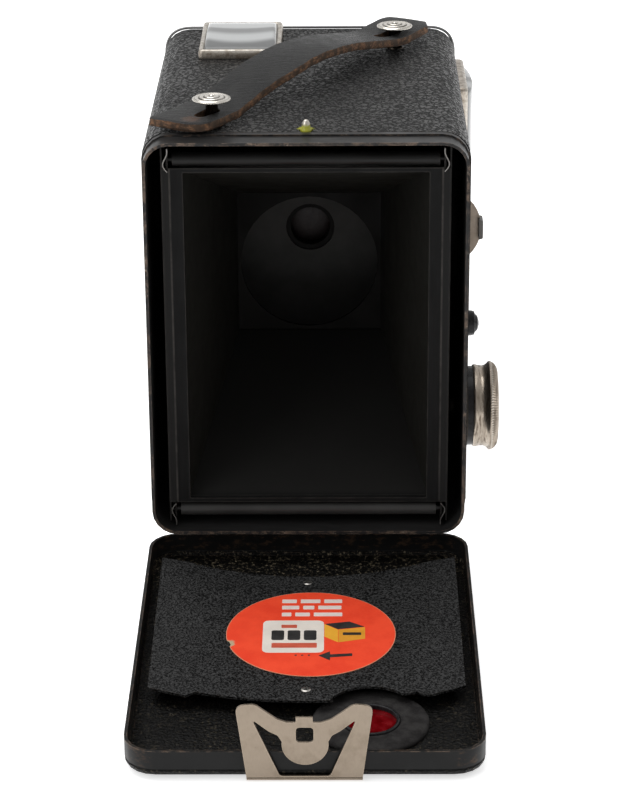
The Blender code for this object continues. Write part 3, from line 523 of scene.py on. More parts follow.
def leatherette_look():
    """Black covering cloth pressed with a Morocco grain: rounded pebbles between wandering creases, the
    creases painted dark as shade and the pebble tops painted lighter as light on them.
    """
    look = Look("leatherette_grain", grey(0.02), 0.4, Specular_IOR_Level=0.2)
    creases = look.cells(0.82, "DISTANCE_TO_EDGE", 1.2, (1.6, 2.3, 1.1))
    bridges = look.ramp(look.noise(1.5, 3.0, 0.6, shift=0.15), 0.48, 0.66, 0.0, 0.9)
    pebbles = look.most(look.ramp(creases, 0.0, 0.24), bridges)
    # Painted shade and light: the creases are near black, the pebble tops lighter
    dark = look.mix(pebbles, grey(0.003), (0.024, 0.0237, 0.0234))
    light = look.mix(pebbles, grey(0.004), (0.044, 0.0436, 0.043))
    tone = look.mix(look.ramp(look.noise(14.0, 3.0, 0.5, shift=0.8), 0.35, 0.7), dark, light)
    tone = look.mix(look.dust((4.0, 0.1, 0.16), (9.0, 0.2, 0.12)), tone, DUST)
    rear, top = extent("leatherette_cover")[0].y, extent("leatherette_cover")[1].z
    stud = middle_of("latch_stud")
    near = look.vector("DISTANCE", look.place, (stud.x * MM, (stud.y + 1.2) * MM, top * MM))
    ragged = look.maths("ADD", near, look.times(look.noise(1.4, 4.0, shift=1.1), 0.0034))
    tone = look.mix(look.ramp(ragged, 0.0038, 0.0030), tone, (0.42, 0.42, 0.03))
    rubbed = look.ramp(look.noise(1.1, 6.0, 0.7, shift=1.4), 0.55, 0.7)
    chalk = look.times(look.ramp(look.axis("Y"), rear + 3.4, rear + 0.6), rubbed)
    look.colour(look.mix(look.times(chalk, 0.6), tone, (0.12, 0.11, 0.10)))
    look.drifting_rough(pebbles, 0.6, 0.3, 0.0, 1.0)
    look.bump(look.noise(1.9, 3.0, 0.6, stretch=(1.5, 1.5, 0.9), shift=0.3, distortion=0.6), 0.7, 0.8)
    look.bump(pebbles, 0.42)
    look.bump(look.noise(0.28, 3.0, 0.6, shift=0.6), 0.05, 0.6)
    return look.material


def crinkle_look(name, tone, grain, gloss):
    """Wrinkle enamel: fine granular relief, its grain tops painted light as glints and the hollows between
    them painted dark as shade.
    """
    look = Look(name, grey(tone), gloss, Specular_IOR_Level=0.1)
    lumps = look.noise(grain * 1.35, 2.0, 0.6, shift=0.2)
    patch = look.noise(11.0, 4.0, 0.55, shift=0.5)
    # Painted glints and shade: grain tops light, the hollows between them dark, in two patch tones
    base = look.mix(look.ramp(lumps, 0.40, 0.62), grey(tone * 0.05), grey(tone * 3.1))
    light = look.mix(look.ramp(lumps, 0.42, 0.6), grey(tone * 0.2), grey(tone * 3.4))
    base = look.mix(look.ramp(patch, 0.3, 0.75), base, light)
    edge = look.times(look.scuffs(0.25, 0.45, 0.6, 2.0, 4.0, shift=0.9), 0.6)
    base = look.mix(edge, base, (0.12, 0.10, 0.085))
    look.colour(look.mix(look.specks(5.0, 0.1, 0.25, shift=0.3), base, DUST))
    look.drifting_rough(lumps, gloss - 0.14, gloss + 0.12)
    look.bump(lumps, 0.45)
    look.bump(look.cells(grain, "SMOOTH_F1", 0.5), 0.25)
    return look.material


def pan_look():
    """The door pan: satin outside, a wrinkled floor with painted glints, scraped walls with rust-brown edges.
    """
    look = Look("door_pan_enamel", grey(0.012), 0.4, Specular_IOR_Level=0.13)
    depth, away = look.axis("Y", door=True), look.axis("Z", door=True)
    level = PAN_BACK + PAN_SHEET + 0.1
    inside = look.ramp(depth, level - 0.35, level - 0.1)
    floor = look.times(look.ramp(depth, level + 1.1, level + 0.5), inside)
    grains = look.cells(0.62, "SMOOTH_F1", 0.6)
    patch = look.noise(9.0, 4.0, 0.55, shift=0.5)
    # Painted highlights: glints on the floor's ridges are put into its colour, more of them towards the hinge
    ridges = look.ramp(look.noise(0.8, 4.0, 0.75, shift=1.7), 0.55, 0.64)
    glint = look.times(ridges, look.ramp(patch, 0.3, 0.6))
    hinge_side = look.times(look.ramp(away, 26.0, 4.0), 0.5)
    glint = look.times(glint, look.maths("ADD", hinge_side, 0.2))
    crinkled = look.mix(grains, (0.006, 0.0057, 0.0054), grey(0.001))
    crinkled = look.mix(glint, crinkled, (0.30, 0.25, 0.17))
    satin = look.mix(look.noise(6.0, 4.0, shift=0.7), grey(0.006), grey(0.015))
    within = look.ramp(look.maths("ABSOLUTE", look.axis("X")), PAN_HALF - 0.1, PAN_HALF - 0.25)
    within = look.times(within, look.ramp(away, -0.35, -0.15))
    within = look.times(within, look.ramp(away, PAN_TOP - 0.1, PAN_TOP - 0.25))
    scraped = look.ramp(look.noise(2.4, 6.0, 0.7, stretch=(1.0, 1.0, 0.5), shift=1.2), 0.5, 0.66)
    wall = look.times(look.times(look.ramp(depth, level + 0.9, level + 2.0), scraped), within)
    satin = look.mix(look.times(wall, 0.7), satin, (0.07, 0.042, 0.026))
    edge = look.scuffs(0.4, 0.42, 0.6, 1.9, 5.0, 0.65, shift=0.1)
    tone = look.mix(edge, look.mix(floor, satin, crinkled), (0.16, 0.115, 0.085))
    look.colour(look.mix(look.specks(6.0, 0.13, 0.2, shift=0.3), tone, DUST))
    look.drifting_rough(floor, 0.36, 0.3, 0.0, 1.0)
    look.bump(look.times(look.noise(0.95, 4.0, 0.65, shift=0.2), floor), 0.55)
    look.bump(look.times(grains, floor), 0.3)
    look.bump(look.noise(0.5, 3.0), 0.02, 0.4)
    return look.material


def matte_look(name, tone=0.0045, roughness=0.6, specular=0.1):
    """Dull black sheet inside the camera, with a breath of dust."""
    look = Look(name, grey(tone), roughness, Specular_IOR_Level=specular)
    patch = look.noise(10.0, 4.0, 0.55)
    base = look.mix(patch, (tone * 0.6, tone * 0.58, tone * 0.56), (tone * 1.7, tone * 1.66, tone * 1.6))
    edge = look.times(look.scuffs(0.3, 0.4, 0.6, 3.0, 5.0, shift=0.4), 0.5)
    base = look.mix(edge, base, (0.10, 0.085, 0.07))
    look.colour(look.mix(look.times(look.dust((5.0, 0.12, 0.14), (14.0, 0.3, 0.14)), 0.5), base, DUST))
    look.drifting_rough(patch, roughness - 0.1, roughness + 0.08)
    look.bump(look.noise(0.5, 3.0, shift=0.5), 0.03, 0.5)
    return look.material


def carrier_look():
    """The film carrier: rails with rubbed folds, and behind the gate a light cone kept evenly dark by painted
    tones: walls and floor painted lighter as light falling in, the far partition painted dark as shade.
    """
    look = Look("carrier_sheet", grey(0.008), 0.55, Specular_IOR_Level=0.1)
    gate = extent("film_carrier")[0].y
    patch = look.noise(10.0, 4.0, 0.55)
    streak = look.noise(1.2, 4.0, 0.6, stretch=(1.0, 1.0, 9.0), shift=0.3)
    tone = look.mix(streak, grey(0.003), grey(0.010))
    across = look.maths("ABSOLUTE", look.axis("X"))
    side = look.ramp(across, CARRIER_FOLD - 0.1, CARRIER_FOLD + 0.1)
    tone = look.mix(side, tone, look.mix(patch, grey(0.008), (0.018, 0.0175, 0.017)))
    fold = look.ramp(look.maths("ABSOLUTE", look.maths("SUBTRACT", across, CARRIER_FOLD)), 0.3, 0.12)
    broken = look.ramp(look.noise(7.0, 5.0, 0.7, shift=0.4), 0.3, 0.7, 0.25, 1.0)
    edge = look.times(look.most(fold, look.worn(0.6)), broken)
    tone = look.mix(look.times(edge, 0.38), tone, (0.12, 0.11, 0.10))
    # Behind the gate the cone's walls and up-facing floor are painted lighter than the sheet, as light
    # falling in, and its far partition is painted dark, as shade
    facing = look.add("ShaderNodeSeparateXYZ", (look.add("ShaderNodeNewGeometry").outputs["Normal"],))
    inward = look.axis("Y")
    cone = look.mix(look.ramp(facing.outputs["Z"], 0.2, 0.7), CONE_WALL_LIT, CONE_FLOOR_LIT)
    cone = look.mix(look.ramp(inward, PARTITION_AT - 0.6, PARTITION_AT - 0.3), cone, PARTITION_SHADE)
    tone = look.mix(look.ramp(inward, gate + 1.0, gate + 3.0), tone, cone)
    look.colour(look.mix(look.times(look.dust((4.0, 0.13, 0.2), (14.0, 0.3, 0.14)), 0.6), tone, DUST))
    look.drifting_rough(patch, 0.5, 0.65)
    look.bump(look.noise(0.5, 3.0, shift=0.5), 0.03, 0.5)
    return look.material


def nickel_look(name, colour, roughness, grime, pits=0.3, brushed=(1.0, 1.0, 1.0), rubbed=0.0):
    """Old nickel plate: warm grey, softly brushed, with brown grime in its corners and fine pits."""
    look = Look(name, colour, roughness, 1.0)
    dark = tuple(value * 0.42 * tint for value, tint in zip(colour, (1.0, 0.88, 0.74)))
    brush = look.noise(0.35, 4.0, 0.6, stretch=brushed, shift=0.3)
    cloud = look.times(look.ramp(look.noise(5.0, 5.0, 0.6), 0.45, 0.72), grime)
    pitted = look.times(look.specks(0.8, 0.1, 0.3, shift=0.2), pits)
    tone = look.mix(pitted, look.mix(cloud, colour, dark), (0.03, 0.022, 0.016))
    # Where rubbed is set, the proud edges are lightened: partly rubbed polish, partly a painted edge
    # highlight
    if rubbed:
        polish_and_edge_highlight = tuple(min(value * 1.9, 0.95) for value in colour)
        tone = look.mix(look.times(look.worn(0.3), rubbed), tone, polish_and_edge_highlight)
    look.colour(tone)
    look.drifting_rough(brush, roughness - 0.07, roughness + 0.1)
    look.bump(brush, 0.012, 0.6)
    look.bump(look.noise(2.4, 3.0, shift=0.8), 0.05, 0.35)
    return look.material


def knob_look():
    """The knob's nickel: brown grime lies in the waist, and the points of the teeth are painted light as
    highlights.
    """
    look = Look("knob_nickel", (0.46, 0.40, 0.335), 0.36, 1.0)
    centre = middle_of("winding_knob") * MM
    smear = look.noise(1.6, 5.0, 0.65, stretch=(0.5, 3.0, 3.0), distortion=0.4)
    along = look.axis("X")
    tone = look.mix(look.ramp(smear, 0.46, 0.7), (0.43, 0.37, 0.305), (0.10, 0.073, 0.052))
    tone = look.mix(look.times(look.ramp(along, *KNOB_FLANK), 0.3), tone, (0.22, 0.18, 0.145))
    across = look.vector("MULTIPLY", look.place, (0.0, 1.0, 1.0))
    radial = look.vector("DISTANCE", across, (0.0, centre.y, centre.z))
    # Painted highlight: the points of the teeth are painted light
    tip_highlights = look.ramp(radial, *(radius * MM for radius in KNOB_TIPS))
    tip_highlights = look.times(tip_highlights, look.ramp(along, KNOB_FLANK[1], KNOB_FLANK[1] + 0.4))
    look.colour(look.mix(tip_highlights, tone, (0.72, 0.67, 0.60)))
    look.drifting_rough(smear, 0.22, 0.42)
    look.bump(smear, 0.05, 0.5)
    look.bump(look.noise(0.4, 3.0, shift=0.5), 0.015, 0.5)
    return look.material


def glass_look():
    """Polished glass with faint smudges."""
    look = Look("polished_glass", (0.94, 0.96, 0.97), 0.02, IOR=1.52, Transmission_Weight=1.0)
    look.drifting_rough(look.noise(6.0, 4.0), 0.02, 0.08, 0.45, 0.75)
    return look.material


def leather_looks():
    """The strap's finished face and its raw cut edge."""
    face = Look("strap_leather_face", (0.02, 0.019, 0.019), 0.36, Specular_IOR_Level=0.2)
    fine = face.cells(0.42, "DISTANCE_TO_EDGE", 0.8)
    scuff = face.noise(3.0, 6.0, 0.68, stretch=(1.4, 2.6, 1.0))
    crease = face.noise(1.3, 4.0, 0.6, stretch=(2.6, 0.5, 1.0), shift=0.5)
    tone = face.mix(face.ramp(scuff, 0.35, 0.7), grey(0.003), (0.036, 0.0355, 0.035))
    edge = face.times(face.scuffs(0.5, 0.42, 0.62, 2.0, 5.0, shift=0.2), 0.7)
    tone = face.mix(edge, tone, (0.11, 0.06, 0.03))
    tone = face.mix(face.ramp(fine, 0.12, 0.0, 0.0, 0.75), tone, grey(0.002))
    patch = face.vector("DISTANCE", face.place, tuple(FRAYED_AT * MM))
    ragged = face.maths("ADD", patch, face.times(face.noise(1.6, 4.0, shift=0.9), 0.003))
    tone = face.mix(face.ramp(ragged, 0.0044, 0.0028), tone, (0.065, 0.031, 0.016))
    face.colour(face.mix(face.specks(5.0, 0.12, 0.2), tone, DUST))
    face.drifting_rough(scuff, 0.33, 0.5)
    face.bump(face.ramp(fine, 0.0, 0.3), 0.08)
    face.bump(crease, 0.5, 0.8)

    raw = Look("strap_raw_edge", (0.09, 0.05, 0.028), 0.85)
    fibres = raw.noise(0.55, 5.0, 0.7, stretch=(1.6, 2.0, 0.7))
    lumps = raw.noise(1.8, 4.0, 0.6, shift=0.4)
    tone = raw.mix(raw.ramp(fibres, 0.3, 0.7), (0.05, 0.028, 0.016), (0.30, 0.155, 0.08))
    raw.colour(raw.mix(raw.ramp(lumps, 0.42, 0.62), (0.06, 0.036, 0.022), tone))
    raw.bump(fibres, 0.25, 0.9)
    raw.bump(lumps, 0.4, 0.5)
    return face.material, raw.material


def paper_look(name, colour, blotch):
    """Printed paper: slightly uneven ink over a soft fibre grain."""
    look = Look(name, colour, 0.5)
    fibre = look.noise(0.7, 4.0, 0.6)
    light = tuple(min(value * (1 + blotch) + 0.01, 1.0) for value in colour)
    dark = tuple(value * (1 - blotch) for value in colour)
    tone = look.mix(look.ramp(look.noise(5.0, 4.0, 0.6, shift=0.4), 0.3, 0.7), dark, light)
    look.colour(look.mix(look.specks(2.5, 0.09, 0.2), tone, tuple(0.6 * value for value in colour)))
    look.drifting_rough(fibre, 0.42, 0.6)
    look.bump(fibre, 0.06, 0.4)
    return look.material


def frame_nickel_look():
    """The finder frames' nickel: the top edge painted light as a highlight, the faces down the sides darker
    and browner, as painted shade over grime.
    """
    look = Look("finder_frame_nickel", (0.46, 0.41, 0.35), 0.36, 1.0)
    top = extent("top_finder_frame")[1].z
    side = extent("side_finder_frame")[1].x
    patch = look.noise(1.5, 5.0, 0.7, shift=0.2)
    # Painted highlight on the top edge, and the faces below left darker as painted shade
    top_highlight = look.ramp(look.axis("Z"), top - 1.0, top - 0.3)
    top_highlight = look.most(top_highlight, look.ramp(look.axis("X"), side - 1.0, side - 0.3))
    grime = look.ramp(patch, 0.40, 0.66)
    tone = look.mix(grime, (0.56, 0.50, 0.43), (0.27, 0.22, 0.175))
    tone = look.mix(top_highlight, tone, look.mix(grime, (0.66, 0.62, 0.56), (0.40, 0.35, 0.29)))
    look.colour(tone)
    look.drifting_rough(patch, 0.26, 0.46)
    look.bump(patch, 0.06, 0.5)
    return look.material


def stud_look():
    """The strap studs' nickel: bright rings, the grooves between them darkened partly by grime and partly as
    painted shade, and the stem below the head painted dark as shade under it.
    """
    look = Look("stud_nickel", (0.80, 0.77, 0.71), 0.26, 1.0)
    aways = []
    for name in ("rear_strap_stud", "front_strap_stud"):
        centre = middle_of(name) * MM
        flat = look.vector("MULTIPLY", look.place, (1.0, 1.0, 0.0))
        aways.append(look.vector("DISTANCE", flat, (centre.x, centre.y, 0.0)))
    away = look.times(look.maths("MINIMUM", *aways), 1.0 / MM)
    low, high = extent("front_strap_stud")
    inward = look.maths("SUBTRACT", (high.x - low.x) / 2 - 0.45, away)
    count = look.times(inward, 1.0 / STUD_RING_STEP)
    share = look.maths("FRACT", count)
    # The grooves between the rings are painted dark, broken by a grime noise: partly grime, partly painted
    # shade
    groove = look.most(look.ramp(share, 0.66, 0.82), look.ramp(share, 0.12, 0.0))
    groove = look.times(groove, look.ramp(count, -0.1, 0.1))
    # Painted shade: the stem below the head is painted dark
    under = look.ramp(look.axis("Z"), high.z - 1.9, high.z - 2.3)
    grime = look.ramp(look.noise(2.5, 4.0), 0.35, 0.65, 0.55, 0.95)
    tone = look.mix(look.noise(1.5, 4.0, shift=0.3), (0.86, 0.83, 0.77), (0.62, 0.58, 0.52))
    look.colour(look.mix(look.most(look.times(groove, grime), under), tone, (0.085, 0.072, 0.058)))
    look.bump(look.noise(0.5, 3.0, shift=0.6), 0.01, 0.5)
    return look.material


def latch_stud_look():
    """The latch stud's nickel, with yellow paint left round its foot."""
    look = Look("latch_stud_nickel", (0.66, 0.62, 0.55), 0.28, 1.0)
    top = extent("latch_stud")[1].z
    ragged = look.maths("ADD", look.axis("Z"), look.times(look.noise(1.2, 4.0), 1.6))
    paint = look.ramp(ragged, top - 0.1, top - 0.7)
    look.colour(look.mix(paint, (0.66, 0.62, 0.55), YELLOW_PAINT))
    look.metal(look.ramp(paint, 0.0, 1.0, 1.0, 0.0))
    look.bump(look.noise(0.8, 4.0, shift=0.4), 0.04, 0.5)
    return look.material


def label_look():
    """Orange-red printed paper with a pale unprinted edge and a torn patch."""
    look = Look("label_paper_print", (0.90, 0.07, 0.028), 0.55, Specular_IOR_Level=0.2)
    centre = DOOR_PLACE @ (Vector((LABEL_AT[0], PLATE_FACE + LABEL_THICK, LABEL_AT[1])) * MM)
    angle = math.radians(NICK_ANGLE)
    nick = DOOR_TURN.to_3x3() @ Vector((math.cos(angle), 0.0, math.sin(angle))) * LABEL_RADIUS * MM
    fibre = look.noise(0.7, 4.0, 0.6)
    uneven = look.ramp(look.noise(7.0, 5.0, 0.6, shift=0.4), 0.3, 0.7)
    ink = look.mix(uneven, (0.88, 0.058, 0.022), (0.98, 0.085, 0.032))
    away = look.vector("DISTANCE", look.place, tuple(centre))
    rim = look.ramp(away, (LABEL_RADIUS - 0.2) * MM, (LABEL_RADIUS - 0.1) * MM)
    ink = look.mix(rim, ink, (0.74, 0.30, 0.18))
    torn = look.vector("DISTANCE", look.place, tuple(centre + nick))
    torn = look.maths("ADD", torn, look.times(look.noise(0.9, 4.0, shift=0.8), 0.0014))
    ink = look.mix(look.ramp(torn, 0.0026, 0.0020), ink, (0.55, 0.41, 0.26))
    look.colour(look.mix(look.specks(3.5, 0.1, 0.2), ink, (0.36, 0.05, 0.03)))
    look.drifting_rough(fibre, 0.42, 0.58)
    look.bump(fibre, 0.05, 0.4)
    return look.material


def felt_look():
    """Black felt with a matted nap."""
    look = Look("window_felt", (0.021, 0.019, 0.019), 0.95, Specular_IOR_Level=0.12)
    clump = look.noise(3.0, 4.0, 0.6, shift=0.3)
    look.colour(look.mix(look.ramp(clump, 0.3, 0.7), (0.019, 0.0175, 0.0175), (0.041, 0.039, 0.038)))
    look.bump(look.noise(0.35, 5.0, 0.7), 0.25, 0.9)
    look.bump(clump, 0.2, 0.4)
    return look.material


def celluloid_look():
    """Deep red celluloid, slightly hazed."""
    look = Look("red_celluloid", (0.2, 0.0, 0.004), 0.14)
    haze = look.noise(3.0, 4.0)
    look.colour(look.mix(look.ramp(haze, 0.35, 0.7), (0.10, 0.0003, 0.0015), (0.19, 0.001, 0.004)))
    look.drifting_rough(haze, 0.1, 0.3)
    return look.material


def moulding_look():
    """Black moulding compound: faint swirls under a satin polish."""
    look = Look("black_moulding_swirl", (0.012, 0.012, 0.013), 0.3, Specular_IOR_Level=0.22)
    swirl = look.noise(3.0, 5.0, 0.6, distortion=1.2)
    tone = look.mix(look.ramp(swirl, 0.35, 0.7), (0.008, 0.008, 0.009), (0.024, 0.023, 0.024))
    # Proud edges lightened: partly wear, partly a painted edge highlight
    look.colour(look.mix(look.times(look.worn(0.3), 0.35), tone, (0.09, 0.085, 0.08)))
    look.drifting_rough(swirl, 0.22, 0.4)
    look.bump(look.noise(0.6, 3.0), 0.02, 0.5)
    return look.material


# CAD nodes: rounded edges and their own finish


def soften(name, width, look):
    """Welds a CAD node's split corners, rounds its edges and gives it its finish."""
    node = NODES[name]
    bpy.context.view_layer.objects.active = node
    bpy.ops.mesh.customdata_custom_splitnormals_clear()
    node.modifiers.new("weld", "WELD").merge_threshold = 0.01 * MM
    if width:
        bevel(node, width, 2, 30.0)
    for polygon in node.data.polygons:
        polygon.use_smooth = bool(width)
    node.data.materials.clear()
    node.data.materials.append(look)


NODE_FINISHES = (  # the node, how far its edges are rounded, and its look
    ("body_shell", 0.12, "shell"), ("leatherette_cover", 0.0, "leatherette"),
    ("front_panel", 0.22, "front"), ("lens_trim_ring", 0.12, "bright"),
    ("film_carrier", 0.1, "carrier"), ("lower_roller", 0.12, "lower_roller"),
    ("upper_roller", 0.12, "upper_roller"), ("take_up_spool", 0.12, "matte"),
    ("lower_left_spool_pin", 0.1, "nickel"), ("upper_left_spool_pin", 0.1, "nickel"),
    ("upper_right_spool_pin", 0.1, "nickel"), ("winder_collar", 0.2, "moulding"),
    ("winder_bush", 0.1, "dark_metal"), ("lens_board", 0.1, "deep"), ("lens_cell", 0.12, "cell"),
    ("shutter_plate", 0.1, "deep"), ("shutter_disc", 0.06, "dark_metal"),
    ("shutter_spring", 0.0, "steel"), ("time_button", 0.12, "moulding"),
    ("top_finder_housing", 0.08, "matte"), ("side_finder_housing", 0.08, "matte"),
    ("top_finder_mirror", 0.05, "mirror"), ("side_finder_mirror", 0.05, "mirror"),
    ("hinge_leaf", 0.06, "enamel"), ("hinge_pin", 0.08, "nickel"), ("door_pan", 0.12, "pan"),
    ("door_leatherette", 0.1, "leatherette"), ("red_window", 0.05, "celluloid"),
    ("pressure_plate", 0.12, "plate"),
)


def dress_cad_nodes(looks):
    for name, width, look in NODE_FINISHES:
        soften(name, width, looks[look])


# Pieces that stand for CAD nodes with finer shapes


def make_knob(look, key_look):
    """A drum with a drawn-in waist that flares to a finely milled edge, and a dished face."""
    low, high = extent("winding_knob")
    collar = extent("winder_collar")[1].x
    rim = high.x
    outer = (high.z - low.z) / 2
    centre = middle_of("winding_knob").yz
    waist = collar + 2.0
    profile = [
        (collar + 0.3, 2.0), (collar + 0.3, outer - 1.16), (collar - 0.45, outer - 1.14),
        (collar - 0.5, outer - 1.0), (collar - 0.35, outer - 0.86), (collar + 0.1, outer - 0.82),
        (collar + 0.7, outer - 0.95), (waist - 0.6, outer - 1.08), (waist, outer - 1.12),
        (waist + 0.7, outer - 0.9), (waist + 1.2, outer - 0.5), (waist + 1.5, outer - 0.12),
        (waist + 1.7, outer), (waist + 2.0, outer - 0.02, KNOB_TEETH, 0.08),
        (waist + 2.2, outer - 0.08, KNOB_TEETH, KNOB_MILL),
        (rim - 1.2, outer - 0.3, KNOB_TEETH, KNOB_MILL),
        (rim - 0.7, outer - 0.75, KNOB_TEETH, KNOB_MILL),
        (rim - 0.3, outer - 1.3, KNOB_TEETH, KNOB_MILL * 0.7),
        (rim - 0.1, outer - 1.7, KNOB_TEETH, 0.06), (rim, outer - 2.2), (rim - 0.05, outer - 2.9),
        (rim - 0.5, outer - 3.4), (rim - 0.75, outer - 4.6), (rim - 0.75, 3.4), (rim - 0.62, 3.2),
        (rim - 0.35, 2.6), (rim - 0.3, 1.0), (rim - 0.32, 0.3),
    ]
    shaft = [(low.x, 1.3), (low.x + 0.3, 1.85), (collar + 1.4, 1.85)]
    drum = turned(profile, centre, "X", KNOB_TEETH * 6)
    piece("knurled_winding_knob", drum, look, "winding_knob", ("winding_knob",), sharp=40.0)
    piece("winding_key_shaft", turned(shaft, centre, "X", 48), key_look, "winding_knob")
    blade = [(centre[0] + y, centre[1] + z) for y, z in ((-2.6, -0.5), (2.6, -0.5), (2.6, 0.5), (-2.6, 0.5))]
    blade = slab(blade, low.x, low.x + 5.0, "X", 0.12)
    piece("winding_key_blade", blade, key_look, "winding_knob")


def make_collar_ring(look):
    """A thin plated ring at the foot of the knob's collar."""
    low, high = extent("winder_collar")
    radius = (high.z - low.z) / 2
    section = ((0.9, 0.0), (0.9, 0.28), (1.3, 0.36), (1.7, 0.28), (1.7, 0.0))
    profile = [(low.x + along, radius + proud) for along, proud in section]
    ring = turned(profile, middle_of("winder_collar").yz, "X", 72, ring=True)
    piece("collar_ring", ring, look, "body")


def make_studs(look, latch_look):
    """Two headed strap studs, their heads turned with rings, and the latch stud."""
    seat = extent("leatherette_cover")[1].z
    for word in ("rear", "front"):
        name = f"{word}_strap_stud"
        low, high = extent(name)
        head, top = (high.x - low.x) / 2, high.z
        profile = [
            (seat - 1.0, 1.0), (seat + 0.1, 1.1), (seat + 0.15, 2.3), (seat + 0.4, 2.2),
            (seat + 0.7, 1.6), (top - 2.3, 1.45), (top - 1.9, 1.7), (top - 1.6, 2.6),
            (top - 1.42, head - 0.5), (top - 1.25, head - 0.08), (top - 1.08, head),
            (top - 0.9, head - 0.06), (top - 0.74, head - 0.34),
        ]
        for ring in range(STUD_RINGS):
            outer = head - 0.45 - ring * STUD_RING_STEP
            crest = top - 0.6 + ring * 0.18
            profile += [(crest - 0.24, outer), (crest - 0.08, outer - 0.14), (crest, outer - 0.42)]
            profile += [(crest - 0.05, outer - 0.7), (crest - 0.22, outer - 0.92)]
            profile += [(crest - 0.24, outer - 1.06)]
        profile += [(top - 0.02, 0.3), (top, 0.12)]
        stud = turned(profile, middle_of(name).xy, "Z", 96)
        piece(f"{word}_ringed_stud", stud, look, "body", (name,), sharp=50.0)
    low, high = extent("latch_stud")
    radius, top = (high.x - low.x) / 2, high.z
    profile = [
        (seat - 1.5, 0.8), (seat - 0.2, radius), (seat + 0.3, radius), (seat + 0.5, radius - 0.22),
        (seat + 1.3, radius - 0.3), (top - 0.75, radius - 0.42), (top - 0.3, radius - 0.7),
        (top - 0.05, 0.35), (top, 0.1),
    ]
    pin = turned(profile, middle_of("latch_stud").xy, "Z", 64)
    piece("latch_stud_pin", pin, latch_look, "body", ("latch_stud",), sharp=50.0)


def strap_point(rear, along, sideways, span, place, across, height):
    """A point of the strap: place along it from the rear stud, across it, and height above its underside."""
    share = min(max((place - 4.0) / (span - 8.0), 0.0), 1.0)
    lift = STRAP_FRONT_LIFT * share * share
    rise = STRAP_ARCH * math.sin(math.pi * share) ** 1.2
    curl = 0.5 * math.exp(-(((place - span - 8.0) / 7.0) ** 2))
    spot = rear + along * place + sideways * across
    return (spot.x, spot.y, STRAP_LOW + lift + rise + curl + height)


def make_strap(looks):
    """A leather strap on two studs, arched between them, with rounded corners, raw edges and slots."""
    rear, front = (middle_of(name).xy for name in ("rear_strap_stud", "front_strap_stud"))
    along = (front - rear).normalized()
    sideways = Vector((-along.y, along.x))
    span = (front - rear).length
    middle, half = (STRAP_LEFT + STRAP_RIGHT) / 2, (STRAP_LEFT - STRAP_RIGHT) / 2
    round_edge = 0.55

    def drawn_in(across, side, corner):
        """How far a rounded corner on one side pulls the end back at that distance across."""
        over = min(max(across * side - (half - corner), 0.0) / corner, 1.0)
        return corner * (1 - math.sqrt(1 - over * over))

    def ends(across):
        """Where the strap starts and stops at that distance across it."""
        start = STRAP_REAR_END + drawn_in(across, -1, 5.5) + drawn_in(across, 1, 0.8)
        clipped = max(-across - (half - 3.7), 0.0) * 1.25
        return start, span + STRAP_FRONT_END - clipped - drawn_in(across, 1, 1.5)

    section = []
    for step in range(STRAP_FLATS + 1):
        across = (half - round_edge) * math.sin(math.pi * (step / STRAP_FLATS - 0.5))
        crown = 0.18 * (1 - (across / half) ** 2)
        section.append((across, STRAP_THICK + crown - 0.18))
    side = [(half - 0.12, STRAP_THICK - 0.2), (half, STRAP_THICK - 0.5), (half, 0.4), (half - 0.2, 0.08)]
    section += side
    for step in range(STRAP_FLATS + 1):
        section.append(((half - round_edge) * math.sin(math.pi * (0.5 - step / STRAP_FLATS)), 0.0))
    section += [(-across, height) for across, height in side[::-1]]

    loops = []
    for station in range(STRAP_STATIONS + 1):
        share = station / STRAP_STATIONS
        pinch = 0.8 if station in (0, STRAP_STATIONS) else 1.0
        loop = []
        for across, height in section:
            start, stop = ends(across)
            place = start + (stop - start) * share
            level = STRAP_THICK / 2 + (height - STRAP_THICK / 2) * pinch
            wobble = 0.12 * math.sin(place * 0.37) + 0.08 * math.sin(place * 0.91 + 1.0)
            narrow = 0.9 if across < 0 else 0.6
            narrow *= math.exp(-(((place - 14.0) / 8.0) ** 2)) * across / half
            spot = middle + across + wobble - narrow
            loop.append(strap_point(rear, along, sideways, span, place, spot, level))
        loops.append(loop)
    strap, stands_for = stacked(loops), ("carrying_strap",)
    strap = piece("leather_carrying_strap", strap, looks, "body", stands_for, sharp=50.0)
    cutters = []
    for stud, reach in zip((rear, front), SLOT_REACH):
        outline = arc((0.0, 0.0), SLOT_HALF, 90, 270, 10) + arc((reach, 0.0), SLOT_HALF * 0.75, -90, 90, 10)
        turn = Matrix(((-along.x, along.y), (-along.y, -along.x)))
        spots = [tuple(stud + turn @ Vector(point)) for point in outline]
        cutters.append(slab(spots, 97.0, 112.0, "Z"))
    carve(strap, *cutters)
    for polygon in strap.data.polygons:
        polygon.material_index = 0 if abs(polygon.normal.z) > 0.75 else 1
    smoothed(strap.data, 50.0)


def across_axis(low, high, axis):
    """A box's corners in the plane across an axis, and its two ends along that axis."""
    if axis == "Z":
        return low.xy, high.xy, low.z, high.z
    return low.yz, high.yz, low.x, high.x


